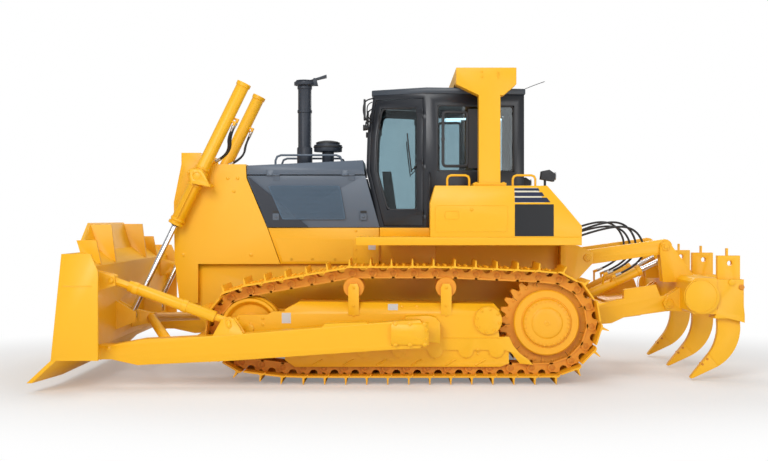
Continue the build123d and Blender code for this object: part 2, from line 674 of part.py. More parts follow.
pre = bar((PRECLEANER_X, 0, 2200), (PRECLEANER_X, 0, 2460), 68, 16)
pre += bar((PRECLEANER_X, 0, 2457), (PRECLEANER_X, 0, 2535), PRECLEANER_RADIUS, 20)
pre += bar((PRECLEANER_X, 0, 2535), (PRECLEANER_X, 0, 2560), PRECLEANER_RADIUS - 25, 20)
save("precleaner", pre & above_hood)


# ---- platform -----------------------------------------------------------------------------------

deck = block(CAB_REAR - 26, 210, -HULL_HALF_WIDTH, HULL_HALF_WIDTH, CASE_TOP, FENDER_Z)
deck += block(CAB_REAR - 26, 210, -DECK_HALF_WIDTH, DECK_HALF_WIDTH, FENDER_Z, DECK_TOP)
deck -= block(CASE_FRONT, 300, -HULL_HALF_WIDTH - 1, HULL_HALF_WIDTH + 1, CASE_TOP - 1, FENDER_Z - 1)
deck += block(210, 250, -HOOD_HALF_WIDTH + 30, HOOD_HALF_WIDTH - 30, HULL_TOP + 25, DECK_TOP)
skirt = block(CASE_FRONT, 210, HULL_HALF_WIDTH - HULL_WALL, HULL_HALF_WIDTH, HULL_TOP, FENDER_Z)
save("platform", deck + skirt + mirror(skirt, about=Plane.XZ))
fender = block(BOX_REAR, 450, DECK_HALF_WIDTH + 4, FENDER_OUTER, FENDER_Z, FENDER_Z + FENDER_SHEET)
fender += block(BOX_REAR, 450, FENDER_OUTER - 20, FENDER_OUTER, FENDER_Z - 60, FENDER_Z)
save("fenders", both(fender))


def make_box():
    """The left side box with its leaning upper side and sloped rear corner."""
    z0 = FENDER_Z + FENDER_SHEET
    body = section([(BOX_INNER, z0), (FENDER_OUTER, z0), (FENDER_OUTER, BOX_CREASE),
                    (FENDER_OUTER - 55, BOX_TOP), (BOX_INNER, BOX_TOP)], BOX_REAR, BOX_FRONT)
    profile = [(BOX_FRONT, z0), (BOX_FRONT, BOX_CREASE), (BOX_FRONT - 51, BOX_TOP), (-1535, BOX_TOP),
               (BOX_REAR, 1620), (BOX_REAR, z0)]
    return body & prism(profile, BOX_INNER - 5, FENDER_OUTER + 5)


save("side_boxes", both(make_box()))
tank = [(CAB_REAR - 36, CASE_TOP), (CAB_REAR - 36, 1960), (-1560, 1960), (BOX_REAR, 1600),
        (BOX_REAR, CASE_TOP + 60), (HULL_REAR, CASE_TOP)]
fuel_tank = prism(tank, -DECK_HALF_WIDTH, DECK_HALF_WIDTH)
for route in RIPPER_HOSES:
    port = hose_port(route[0], route[1], 65)
    fuel_tank += port + mirror(port, about=Plane.XZ)
save("fuel_tank", fuel_tank)


# ---- cab ----------------------------------------------------------------------------------------

def cab_plan(inset):
    """The six-sided plan of the cab, moved inwards by a wall."""
    lean = inset * 0.42
    return [(CAB_FRONT - inset, CAB_FRONT_HALF - lean), (CAB_PILLAR, CAB_PILLAR_HALF - inset * 1.05),
            (CAB_REAR + inset, CAB_REAR_HALF - inset), (CAB_REAR + inset, -CAB_REAR_HALF + inset),
            (CAB_PILLAR, -CAB_PILLAR_HALF + inset * 1.05), (CAB_FRONT - inset, -CAB_FRONT_HALF + lean)]


def cab_side(inset):
    """The cab's outline from the side, its front leaning back above and below."""
    front = CAB_FRONT - inset
    return [(CAB_REAR + inset, CAB_FLOOR), (front - 150, CAB_FLOOR), (front, CAB_WAIST),
            (front - 12, CAB_BREAK), (front - 80, CAB_ROOF), (CAB_REAR + inset, CAB_ROOF)]


cab_shell = plan(cab_plan(0), CAB_FLOOR, CAB_ROOF) & prism(cab_side(0), -900, 900)
cab_room = plan(cab_plan(CAB_WALL), CAB_FLOOR + 45, CAB_ROOF - 45) & prism(cab_side(CAB_WALL), -900, 900)
cab_shell -= cab_room
DOOR_TURN = degrees(atan2(CAB_PILLAR_HALF - CAB_FRONT_HALF, CAB_FRONT - CAB_PILLAR))
DOOR_LENGTH = hypot(CAB_PILLAR_HALF - CAB_FRONT_HALF, CAB_FRONT - CAB_PILLAR)
door_plane = Pos(CAB_PILLAR, CAB_PILLAR_HALF, 0) * Rot(0, 0, -DOOR_TURN)
DOOR_HINGE = 40             # hinge line, forward of the pillar along the door
DOOR_HINGE_ZS = (1740, 2280, 2820)


def in_door(points, y0=-CAB_WALL - 30, y1=30):
    """A cutter through the left door's wall; points are (distance forward of the pillar, z)."""
    return door_plane * prism(points, y0, y1)


def door_edge(gap):
    """The door's outline, smaller by a gap on every side."""
    return [(DOOR_HINGE + gap, CAB_FLOOR + 20 + gap), (DOOR_LENGTH - 215 - gap, CAB_FLOOR + 20 + gap),
            (DOOR_LENGTH - 45 - gap, CAB_WAIST), (DOOR_LENGTH - 58 - gap, CAB_BREAK),
            (DOOR_LENGTH - 118 - gap, CAB_ROOF - 50 - gap), (DOOR_HINGE + gap, CAB_ROOF - 50 - gap)]


def door_window(play):
    """The door window's outline, smaller by a pane's play on every side."""
    front, bottom, top = DOOR_LENGTH - play, CAB_FLOOR + 192 + play, CAB_ROOF - 140 - play
    return [(110 + play, bottom), (front - 250, bottom), (front - 110, CAB_WAIST), (front - 122, CAB_BREAK),
            (front - 180, top), (110 + play, top)]


door_wall = cab_shell & in_door(door_edge(MOVING_GAP / 2))
door_wall -= in_door(door_window(0))


def door_leaf(s0, s1, z0, z1, sides=0):
    """One leaf of a cab door's hinge with its share of the barrel, in the door's plane."""
    leaf = prism([(s0, z0), (s1, z0), (s1, z1), (s0, z1)], 0, HINGE_OUT / 2)
    leaf += bar((DOOR_HINGE, HINGE_OUT, z0), (DOOR_HINGE, HINGE_OUT, z1), HINGE_RADIUS, sides)
    return door_plane * leaf


for z, sides in zip(DOOR_HINGE_ZS, (8, 0, 8)):
    door_wall += door_leaf(DOOR_HINGE, DOOR_HINGE + 80, z + 2, z + 50, sides)
for name, side in SIDES:
    save(f"cab_door_{name}", on_side(door_wall, side))
pane = in_door(door_window(PANE_PLAY), -30, -30 + PANE_THICKNESS)
for name, side in SIDES:
    save(f"door_glass_{name}", on_side(pane, side))

REAR_TURN = degrees(atan2(CAB_PILLAR_HALF - CAB_REAR_HALF, CAB_PILLAR - CAB_REAR))
REAR_LENGTH = hypot(CAB_PILLAR_HALF - CAB_REAR_HALF, CAB_PILLAR - CAB_REAR)
rear_plane = Pos(CAB_PILLAR, CAB_PILLAR_HALF, 0) * Rot(0, 0, REAR_TURN)


def side_window(play):
    """The rear side window's outline behind the pillar, smaller by a pane's play."""
    x0, x1, bottom, top = -120 - play, -REAR_LENGTH + 110 + play, WINDOW_BOTTOM + play, WINDOW_TOP - play
    return [(x0, bottom), (x0, top), (x1, top), (x1, bottom)]


def make_cab_frame():
    """The cab's pillars and walls with its door ways and windows cut through."""
    frame = cab_shell
    opening = in_door(door_edge(-MOVING_GAP / 2)) + rear_plane * prism(side_window(0), -90, 30)
    for z in DOOR_HINGE_ZS:
        opening -= door_leaf(4, DOOR_HINGE, z - 50, z - 2)
    for side in (1, -1):
        frame -= on_side(opening, side)
        for z in DOOR_HINGE_ZS:
            frame += on_side(door_leaf(4, DOOR_HINGE, z - 50, z - 2, 8), side)
    half = CAB_FRONT_HALF - 70
    frame -= block(CAB_FRONT - 200, CAB_FRONT + 50, -half, half, WINDOW_BOTTOM + 47, WINDOW_TOP + 20)
    half = CAB_REAR_HALF - 110
    frame -= block(CAB_REAR - 50, CAB_REAR + 100, -half, half, WINDOW_BOTTOM, WINDOW_TOP)
    return frame


save("cab_frame", make_cab_frame())


def make_cab_glass():
    """The fixed panes: windscreen, two sides and the rear."""
    left = rear_plane * prism(side_window(PANE_PLAY), -30, -30 + PANE_THICKNESS)
    panes = [left, mirror(left, about=Plane.XZ)]
    outer = [(CAB_FRONT - 20, CAB_WAIST), (CAB_FRONT - 32, CAB_BREAK), (CAB_FRONT - 97, CAB_ROOF - 50)]
    band = outer + [(x - PANE_THICKNESS, z) for x, z in reversed(outer)]
    half = CAB_FRONT_HALF - 70 - PANE_PLAY
    low, high = WINDOW_BOTTOM + PANE_PLAY, WINDOW_TOP - PANE_PLAY
    panes.append(prism(band, -half, half) & block(0, CAB_FRONT, -half, half, low + 47, high + 20))
    half = CAB_REAR_HALF - 110 - PANE_PLAY
    panes.append(block(CAB_REAR + 22, CAB_REAR + 22 + PANE_THICKNESS, -half, half, low, high))
    return Compound([s for p in panes for s in p.solids()])


save("cab_glass", make_cab_glass())
roof_plan = [(x + (14 if x > 0 else -14 if x < -1000 else 0), y * 1.02) for x, y in cab_plan(0)]
roof_plan = [(min(x, CAB_FRONT - 60), y) for x, y in roof_plan]
roof = plan(roof_plan, CAB_ROOF, CAB_ROOF + ROOF_THICKNESS)
save("cab_roof", roof)
seat = block(-930, -420, -255, 255, CAB_FLOOR + 300, CAB_FLOOR + 430)
seat += prism([(-930, CAB_FLOOR + 420), (-800, CAB_FLOOR + 420), (-900, CAB_FLOOR + 1060),
               (-1010, CAB_FLOOR + 1060)], -245, 245)
seat += prism([(-905, CAB_FLOOR + 1050), (-860, CAB_FLOOR + 1085), (-885, CAB_FLOOR + 1280),
               (-960, CAB_FLOOR + 1280), (-985, CAB_FLOOR + 1050)], -130, 130)
save("seat", seat)
base = block(-900, -480, -240, 240, CAB_FLOOR + 45, CAB_FLOOR + 300)
consoles = block(-880, -320, 275, 430, CAB_FLOOR + 45, CAB_FLOOR + 520)
dash = prism([(10, CAB_FLOOR + 45), (140, CAB_FLOOR + 45), (190, CAB_WAIST), (90, CAB_WAIST)], -260, 260)
save("cab_interior", Compound([*base.solids(), *both(consoles).solids(), *dash.solids()]))


# ---- roll-over frame ----------------------------------------------------------------------------

def make_rops():
    """Two posts on the side boxes and a cross beam above the cab's roof."""
    front, rear = ROPS_X + 349, ROPS_X - 279
    top = CAB_ROOF + ROOF_THICKNESS + ROPS_CLEARANCE + ROPS_BEAM
    low, neck = top - 174, top - 288
    haunch = [(front, top), (rear, top), (rear, low), (ROPS_X - 148, neck), (ROPS_X + 112, neck),
              (front, low)]
    beam = [(front, top), (rear, top), (rear, top - ROPS_BEAM), (front, top - ROPS_BEAM)]
    y0, y1 = ROPS_Y - ROPS_WIDTH / 2, ROPS_Y + ROPS_WIDTH / 2
    half = prism(beam, 0, y1) + prism(haunch, y0, y1)
    x0, x1 = ROPS_X - ROPS_DEPTH / 2, ROPS_X + ROPS_DEPTH / 2
    half += block(x0, x1, y0, y1, BOX_TOP, neck + 16)
    half += block(x0 - 60, x1 + 60, BOX_INNER + 20, y1 + 30, BOX_TOP, BOX_TOP + 30)
    return half + mirror(half, about=Plane.XZ)


save("rops", make_rops())


# ---- blade --------------------------------------------------------------------------------------

def from_rear(points):
    """Blade outline points given as (distance ahead of the blade's rear plane, z)."""
    return [(BLADE_REAR + x, z) for x, z in points]


def blade_section(y, shift):
    """The mouldboard and its box section at a distance from the middle, moved forward by a shift."""
    foot, middle, head = 224 + shift, 120 + shift * 0.4, 217 + shift * 0.1
    steps = 6
    face = []
    for i in range(steps + 1):
        t = i / steps
        bow = 4 * t * (1 - t) * (middle - (foot + head) / 2)
        face.append((foot + (head - foot) * t + bow, BLADE_BOTTOM + (BLADE_TOP - BLADE_BOTTOM) * t))
    back = [(177, BLADE_TOP), (0, 1218), (0, 400), (75, BLADE_BOTTOM)]
    return make_face(Polyline(*[(x, y, z) for x, z in from_rear(face + back)], close=True))


def make_blade():
    """Mouldboard, wings, end plates, spill guard, gussets and the lugs behind."""
    centre = blade_section(-BLADE_CENTRE_HALF, 0)
    blade = extrude(centre, amount=2 * BLADE_CENTRE_HALF, dir=(0, 1, 0))
    inside = BLADE_HALF_WIDTH - END_PLATE
    wing = loft([blade_section(BLADE_CENTRE_HALF, 0), blade_section(inside, BLADE_WING_SHIFT)], ruled=True)
    plate = from_rear([(-51, BLADE_TOP), (230, BLADE_TOP), (334, BLADE_BOTTOM), (-123, BLADE_BOTTOM),
                       (-123, 1187)])
    side = wing + prism(plate, inside, BLADE_HALF_WIDTH)
    lug = from_rear([(10, 1180), (-205, 1130), (-215, 1030), (10, 960)])
    for y in (ARM_Y - 70, ARM_Y + 40):
        side += prism(lug, y, y + 30)
    side -= bore(BRACE_HEAD, ARM_Y - 90, ARM_Y + 90, BRACE_PIN)
    eye = [(BLADE_REAR + 10, LIFT_EYE[1] + 170), (LIFT_EYE[0] - 70, LIFT_EYE[1] + 40),
           (LIFT_EYE[0] - 70, LIFT_EYE[1] - 60), (BLADE_REAR + 10, LIFT_EYE[1] - 150)]
    for y in (LIFT_Y - 80, LIFT_Y + 50):
        side += prism(eye, y, y + 30)
    blade += side + mirror(side, about=Plane.XZ)
    blade += prism(BALL_HORN, -45, 45)
    spill = prism(from_rear([(217, BLADE_TOP - 20), (313, 1650), (285, 1650), (177, BLADE_TOP - 20)]),
                  -BLADE_CENTRE_HALF, BLADE_CENTRE_HALF)
    x = BLADE_REAR - 45
    cut = section([(-1300, 1390), (-673, 1652), (-673, 1700), (-1300, 1700)], x, x + 600)
    blade += spill - cut - mirror(cut, about=Plane.XZ)
    for y, top in ((BLADE_CENTRE_HALF - 15, 1474), (665, 1632)):
        rib = from_rear([(55, top), (217 + (top - BLADE_TOP) * 0.32, top), (210, BLADE_TOP - 20),
                         (135, BLADE_TOP - 60), (5, 1230)])
        gusset = prism(rib, y, y + 30)
        blade += gusset + mirror(gusset, about=Plane.XZ)
    return blade


def edge_section(y, shift):
    """A cutting edge's section at a distance from the middle."""
    points = from_rear([(227, BLADE_BOTTOM), (460, EDGE_TIP_Z), (405, EDGE_TIP_Z), (172, BLADE_BOTTOM)])
    return make_face(Polyline(*[(x + shift, y, z) for x, z in points], close=True))


def make_edges():
    """The centre cutting edge and the two end bits."""
    centre = extrude(edge_section(-BLADE_CENTRE_HALF, 0), amount=2 * BLADE_CENTRE_HALF, dir=(0, 1, 0))
    tip = edge_section(BLADE_HALF_WIDTH, BLADE_WING_SHIFT)
    bit = loft([edge_section(BLADE_CENTRE_HALF, 0), tip], ruled=True)
    return centre + bit + mirror(bit, about=Plane.XZ)


BALL_HORN = [(BLADE_REAR + 10, BALL[1] + 110), (BALL[0] - 80, BALL[1] + 50), (BALL[0] - 80, BALL[1] - 50),
             (BLADE_REAR + 10, BALL[1] - 110)]
save("blade", make_blade())
save("cutting_edges", make_edges())


def bearing_cap(y):
    """The bulging cap over the trunnion on the arm's outer face, its long axis fore and aft."""
    x, z = TRUNNION
    cap = [(y - 20, z - 118), (y + 28, z - 100), (y + 55, z - 40), (y + 55, z + 40), (y + 28, z + 100),
           (y - 20, z + 118)]
    tail = [(x - 145, y - 30), (x - 145, y + 5), (x - 70, y + 60), (x + 230, y + 60), (x + 230, y - 30)]
    return section(cap, x - 145, x + 228) & plan(tail, z - 130, z + 130)


def make_arm():
    """The left push arm, a tapered box with its front eye and the bearing round the trunnion."""
    (x0, z0), (x1, z1) = ARM_FRONT, ARM_REAR
    half = ARM_DEPTH / 2
    y0, y1 = ARM_Y - ARM_WIDTH / 2, ARM_Y + ARM_WIDTH / 2
    x, z = TRUNNION
    side = [(x0 - 40, z0 - 70), (x0 - 40, z0 + 70), (x0 - 350, z0 + half), (BRACE_FOOT[0], z0 + half + 42),
            (x1, z1 + half + 20), (x - 60, z + 140), (x - 150, z), (x - 60, z - 140), (x1, z1 - half),
            (BRACE_FOOT[0], z0 - half + 42), (x0 - 300, z0 - half)]
    box = prism(side, y0, y1)
    box += drum((x0 + 68, z0), y0, y1, 75, 12)
    box += block(x0 - 60, x0 + 68, y0, y1, z0 - 70, z0 + 70)
    box += bearing_cap(y1)
    box -= bore(TRUNNION, y0 - 10, y1 - 15, TRUNNION_RADIUS, 20)
    foot = [(BRACE_FOOT[0] + 163, z0 + half + 20), (BRACE_FOOT[0] + 60, BRACE_FOOT[1] + 40),
            (BRACE_FOOT[0] - 60, BRACE_FOOT[1] + 40), (BRACE_FOOT[0] - 172, z0 + half + 20)]
    for y in (ARM_Y - 75, ARM_Y + 45):
        box += prism(foot, y, y + 30)
    return box - bore(BRACE_FOOT, ARM_Y - 90, ARM_Y + 90, BRACE_PIN)


save("push_arms", both(make_arm()))


def brace_line(share):
    """A point on the line from the brace's foot to its head."""
    return (BRACE_FOOT[0] + share * (BRACE_HEAD[0] - BRACE_FOOT[0]), ARM_Y,
            BRACE_FOOT[1] + share * (BRACE_HEAD[1] - BRACE_FOOT[1]))


def make_brace_end(share):
    """An eye with its pin at one end of the brace line."""
    x, y, z = brace_line(share)
    return drum((x, z), ARM_Y - 38, ARM_Y + 38, 52, 12) + drum((x, z), ARM_Y - 85, ARM_Y + 85, BRACE_PIN, 12)


brace = bar(brace_line(0.12), brace_line(0.86), BRACE_RADIUS, 12)
brace += bar(brace_line(0), brace_line(0.14), 38, 8) + bar(brace_line(0.84), brace_line(1), 38, 8)
brace += make_brace_end(0) + make_brace_end(1)
save("blade_brace", brace)
tilt = bar(brace_line(0.08), brace_line(0.66), 78, 16) + bar(brace_line(0), brace_line(0.1), 40, 8)
tilt += bar(brace_line(0.6), brace_line(1), 36, 12) + make_brace_end(0) + make_brace_end(1)
save("tilt_cylinder", mirror(tilt, about=Plane.XZ))

diagonal = bar((BALL[0] - 60, 0, BALL[1]), (DIAGONAL_END[0], ARM_Y - ARM_WIDTH / 2, DIAGONAL_END[1]), 52, 16)
diagonal &= block(DIAGONAL_END[0] - 350, BLADE_REAR - 45, -100, ARM_Y - ARM_WIDTH / 2, 300, 700)
diagonals = diagonal + mirror(diagonal, about=Plane.XZ) + Pos(BALL[0] - 80, 0, BALL[1]) * Box(60, 130, 110)
diagonals -= prism(BALL_HORN, -46, 46)
save("diagonal_braces", diagonals)


# ---- lift cylinders -----------------------------------------------------------------------------

def make_lift_tube():
    """The left tube with its trunnion collar and hose ports, hollow for the rod."""
    tube = bar(on_lift(-LIFT_TUBE_TOP), on_lift(LIFT_TUBE_BOTTOM), LIFT_TUBE_RADIUS, 16)
    tube += bar(on_lift(-70), on_lift(70), LIFT_TUBE_RADIUS + 14, 16)
    tube += drum(YOKE, GUARD_HALF_WIDTH - GUARD_WALL + 5, LIFT_Y + LIFT_TUBE_RADIUS + 60, PIN_RADIUS)
    hollow = (LIFT_ROD_RADIUS + PIN_GAP) / cos(pi / 12)
    tube -= bar(on_lift(-LIFT_TUBE_TOP + 60), on_lift(LIFT_TUBE_BOTTOM + 10), hollow, 12)
    for route in LIFT_HOSES:
        up, back, y = route[-1]
        tube += bar(beside_lift(up, back, y), beside_lift(up + 60, back, y), HOSE_PORT_RADIUS, 6)
        up += 45
        tube += bar(beside_lift(up, back, y), beside_lift(up, LIFT_TUBE_RADIUS - 20, y), HOSE_RADIUS, 6)
    return tube


def make_lift_rod():
    """The left rod with its eye; its own short pin fills the bore."""
    rod = bar(on_lift(LIFT_LENGTH - 1660), on_lift(LIFT_LENGTH - 20), LIFT_ROD_RADIUS, 12)
    return rod + drum(LIFT_EYE, LIFT_Y - 42, LIFT_Y + 42, 62, 16)


for name, side in SIDES:
    save(f"lift_tube_{name}", on_side(make_lift_tube(), side))
    save(f"lift_rod_{name}", on_side(make_lift_rod(), side))
    hoses = [on_side(hose([beside_lift(*point) for point in route]), side) for route in LIFT_HOSES]
    save(f"lift_hoses_{name}", Compound([s for h in hoses for s in h.solids()]))


# ---- ripper -------------------------------------------------------------------------------------

RIP_UPPER_REAR = (RIP_UPPER_FRONT[0] + RIP_LOWER_REAR[0] - RIP_LOWER_FRONT[0],
                  RIP_UPPER_FRONT[1] + RIP_LOWER_REAR[1] - RIP_LOWER_FRONT[1])


def make_ripper_bracket():
    """The plates behind the axle case that carry the ripper's front pins."""
    side = [(HULL_REAR, 470), (HULL_REAR, 1400), (-1960, 1400), (RIP_UPPER_FRONT[0] - 60, 1320),
            (RIP_UPPER_FRONT[0] - 60, 1210), (-1930, 1000), (-1940, 860), (RIP_LOWER_FRONT[0] - 60, 720),
            (RIP_LOWER_FRONT[0] - 60, 600), (-1900, 500)]
    bracket = block(HULL_REAR - 60, HULL_REAR, -600, 600, 500, 1400)
    for y in (RIP_LINK_Y - 75, RIP_LINK_Y + 45):
        plate = prism(side, y, y + 30)
        bracket += plate + mirror(plate, about=Plane.XZ)
    outer = [(HULL_REAR, 500), (HULL_REAR, 900), (-1930, 860), (RIP_LOWER_FRONT[0] - 60, 720),
             (RIP_LOWER_FRONT[0] - 60, 600), (-1900, 500)]
    plate = prism(outer, RIP_ARM_Y + 45, RIP_ARM_Y + 75)
    bracket += plate + mirror(plate, about=Plane.XZ)
    for y in (RIP_CYL_Y - 80, RIP_CYL_Y + 50):
        plate = prism([(HULL_REAR - 50, 640), (HULL_REAR - 50, 900), (-1960, 850),
                       (RIP_CYL_BASE[0] - 50, 810), (RIP_CYL_BASE[0] - 50, 740), (-1940, 690)], y, y + 30)
        bracket += plate + mirror(plate, about=Plane.XZ)
    for at, y0, y1 in ((RIP_UPPER_FRONT, RIP_LINK_Y - 50, RIP_LINK_Y + 50),
                       (RIP_LOWER_FRONT, RIP_ARM_Y - 70, RIP_ARM_Y + 50),
                       (RIP_CYL_BASE, RIP_CYL_Y - 55, RIP_CYL_Y + 55)):
        pin = drum(at, y0, y1, PIN_RADIUS)
        bracket += pin + mirror(pin, about=Plane.XZ)
    return bracket


save("ripper_bracket", make_ripper_bracket())


def make_link(front, rear, y, width, depth):
    """One bar between two pins, with round ends and bored for the pins."""
    reach = Vector(rear[0] - front[0], 0, rear[1] - front[1])
    shape = drum(front, y - width / 2, y + width / 2, depth / 2, 16)
    shape += drum(rear, y - width / 2, y + width / 2, depth / 2, 16)
    up = Vector(-reach.Z, 0, reach.X).normalized() * (depth / 2 * 0.96)
    corners = [(front[0] + up.X, front[1] + up.Z), (rear[0] + up.X, rear[1] + up.Z),
               (rear[0] - up.X, rear[1] - up.Z), (front[0] - up.X, front[1] - up.Z)]
    shape += prism(corners, y - width / 2, y + width / 2)
    for at in (front, rear):
        shape -= bore(at, y - width, y + width, PIN_RADIUS)
    return shape


def make_ripper_arm():
    """The lower arm: two side bars with a belly and a raised step, joined by a cross box."""
    (x0, z0), (x1, z1) = RIP_LOWER_FRONT, RIP_LOWER_REAR
    width, depth = 80, 176
    outline = [(x0, z0 + 95), (x1 + 475, z1 + 50), (x1 + 475, z1 + 149), (x1 + 126, z1 + 202),
               (x1 + 81, z1 + 78), (x1, z1 + 82), (x1, z1 - 82), (x0 - 410, z0 - 21), (x0 - 245, z0 - 98),
               (x0 - 110, z0 - 110), (x0, z0 - 95)]
    side = make_link(RIP_LOWER_FRONT, RIP_LOWER_REAR, RIP_ARM_Y, width, depth)
    side += prism(outline, RIP_ARM_Y - width / 2, RIP_ARM_Y + width / 2)
    for at in (RIP_LOWER_FRONT, RIP_LOWER_REAR):
        side -= bore(at, RIP_ARM_Y - width, RIP_ARM_Y + width, PIN_RADIUS)
    middle = (x0 + x1) / 2
    cross = [(middle + 158, 600), (middle + 158, 770), (middle - 152, 810), (middle - 152, 640)]
    return both(side) + prism(cross, -RIP_ARM_Y + 20, RIP_ARM_Y - 20)


save("ripper_arm", make_ripper_arm())
save("ripper_links", both(make_link(RIP_UPPER_FRONT, RIP_UPPER_REAR, RIP_LINK_Y, 80, 165)))


def make_ripper_beam():
    """The cross beam with round ends, ears for the links and a pocket for each shank."""
    front, rear = RIP_LOWER_REAR[0] - 124, SHANK_X + 261
    box = [(front, 730), (front, 1040), (front - 40, 1075), (rear, 1075), (rear, 700), (front - 30, 700)]
    beam = prism(box, -RIP_BEAM_HALF + 30, RIP_BEAM_HALF - 30)
    for side in (1, -1):
        y = side * RIP_BEAM_HALF
        beam += drum((front - 110, 882), y - 30 - 30 * side, y + 30 - 30 * side, 178, 20)
    lower = [(front - 20, 690), (RIP_LOWER_REAR[0] + 20, 700), (RIP_LOWER_REAR[0] + 60, 776),
             (RIP_LOWER_REAR[0] + 20, 852), (front - 20, 960)]
    x, z = RIP_UPPER_REAR
    upper = [(front - 20, 1000), (x + 30, z - 388), (x + 63, z - 48), (x + 55, z + 15), (x + 35, z + 48),
             (x, z + 63), (x - 40, z + 50), (rear + 83, 1075)]
    x, z = RIP_CYL_EYE
    middle = [(front - 20, 1030), (x + 60, z - 20), (x + 40, z + 50), (x - 50, z + 50), (rear + 40, 1060)]
    ears = ((lower, RIP_ARM_Y, 45, RIP_LOWER_REAR), (upper, RIP_LINK_Y, 45, RIP_UPPER_REAR),
            (middle, RIP_CYL_Y, 50, RIP_CYL_EYE))
    for outline, y, gap, pin in ears:
        for y0 in (y - gap - 30, y + gap):
            plate = prism(outline, y0, y0 + 30)
            beam += plate + mirror(plate, about=Plane.XZ)
        if outline is not middle:
            bolt = drum(pin, y - gap - 5, y + gap + 5, PIN_RADIUS, 0 if outline is lower else 12)
            beam += bolt + mirror(bolt, about=Plane.XZ)
    for y in SHANK_YS:
        half = SHANK_THICKNESS / 2
        pocket = block(SHANK_X - 25, rear + 5, y - half - 45, y + half + 45, 700, 1061)
        flare = [(y - half - 45, 785), (y - half - 75, 690), (y - half - 75, 612), (y + half + 75, 612),
                 (y + half + 75, 690), (y + half + 45, 785)]
        slope = [(SHANK_X - 25, 612), (SHANK_X + 150, 657), (rear + 28, 655), (rear - 20, 785),
                 (SHANK_X - 25, 785)]
        pocket += section(flare, SHANK_X - 25, rear + 28) & prism(slope, y - 200, y + 200)
        pocket += drum((SHANK_X + 103, 1030), y - half - 60, y + half + 60, 34, 12)
        pocket -= block(SHANK_X - 3, SHANK_X + 238, y - half - 3, y + half + 3, 600, 1070)
        beam += pocket
    return beam


save("ripper_beam", make_ripper_beam())


def make_shank():
    """One curved shank about y = 0, with its lifting eye and hole."""
    half = SHANK_THICKNESS / 2
    x = SHANK_X
    outer = ThreePointArc((x, -half, 605), (x + 39, -half, 360), (x + 229, -half, 149))
    inner = ThreePointArc((x + 329, -half, 270), (x + 253, -half, 420), (x + 235, -half, 605))
    rest = Polyline((x + 235, -half, 605), (x + 235, -half, 1308), (x, -half, 1308), (x, -half, 605))
    end = Line((x + 229, -half, 149), (x + 329, -half, 270))
    face = make_face([*outer.edges(), *end.edges(), *inner.edges(), *rest.edges()])
    shank = extrude(face, amount=SHANK_THICKNESS, dir=(0, 1, 0))
    shank += block(x + 122, x + 140, -25, 25, 1300, 1385)
    return shank - drum(SHANK_HOLE, -half - 5, half + 5, SHANK_HOLE_RADIUS)


shank = make_shank()
save("ripper_shanks", Compound([s for y in SHANK_YS for s in (Pos(0, y, 0) * shank).solids()]))
point = prism([(SHANK_X + 329, 270), (SHANK_X + 229, 149), (SHANK_X + 491, 25), (SHANK_X + 517, 20),
               (SHANK_X + 511, 40)], -42, 42)
save("ripper_points", Compound([s for y in SHANK_YS for s in (Pos(0, y, 0) * point).solids()]))

rip_reach = Vector(RIP_CYL_EYE[0] - RIP_CYL_BASE[0], 0, RIP_CYL_EYE[1] - RIP_CYL_BASE[1])
RIP_LENGTH = rip_reach.length
rip_way = rip_reach.normalized()


def on_ripper(distance):
    """A point on the left ripper cylinder's line, measured from its base pin."""
    return (RIP_CYL_BASE[0] + rip_way.X * distance, RIP_CYL_Y, RIP_CYL_BASE[1] + rip_way.Z * distance)


RIP_TUBE_END = RIP_LENGTH * 0.7


def make_ripper_tube():
    """The left ripper tube with its base eye and hose ports, hollow for the rod."""
    tube = bar(on_ripper(60), on_ripper(RIP_TUBE_END), RIP_CYL_RADIUS, 16)
    tube += drum(RIP_CYL_BASE, RIP_CYL_Y - 40, RIP_CYL_Y + 40, 68, 16)
    tube -= bore(RIP_CYL_BASE, RIP_CYL_Y - 60, RIP_CYL_Y + 60, PIN_RADIUS)
    for route in RIPPER_HOSES:
        x, y, z = route[-1]
        tube += hose_port(route[-1], route[-2], 60)
        tube += bar((x + 45, y, z - 15), on_ripper((x + 60 - RIP_CYL_BASE[0]) / rip_way.X), HOSE_RADIUS, 6)
    return tube - bar(on_ripper(120), on_ripper(RIP_TUBE_END + 10), RIP_ROD_RADIUS + 2, 12)


save("ripper_tubes", both(make_ripper_tube()))
rod = bar(on_ripper(RIP_LENGTH * 0.39), on_ripper(RIP_LENGTH - 20), RIP_ROD_RADIUS, 12)
save("ripper_rods", both(rod + drum(RIP_CYL_EYE, RIP_CYL_Y - 40, RIP_CYL_Y + 40, 55, 12)))
hoses = [hose(route) for route in RIPPER_HOSES]
save("ripper_hoses", both(Compound([s for h in hoses for s in h.solids()])))


# ---- rails and lamps ----------------------------------------------------------------------------

def rail(points, radius, bend, chords=2):
    """A six-sided rail through its corners, each turned in a few short chords."""
    line = [Vector(*points[0])]
    for before, corner, after in zip(points, points[1:], points[2:]):
        before, corner, after = Vector(*before), Vector(*corner), Vector(*after)
        back, on = (before - corner).normalized(), (after - corner).normalized()
        for i in range(chords + 1):
            turn = pi / 2 * i / chords
            line.append(corner + back * (bend * (1 - sin(turn))) + on * (bend * (1 - cos(turn))))
    line.append(Vector(*points[-1]))
    path = Polyline(*line)
    start = Plane(origin=line[0], z_dir=line[1] - line[0])
    return sweep(start * RegularPolygon(radius, 6), path=path, transition=Transition.RIGHT)


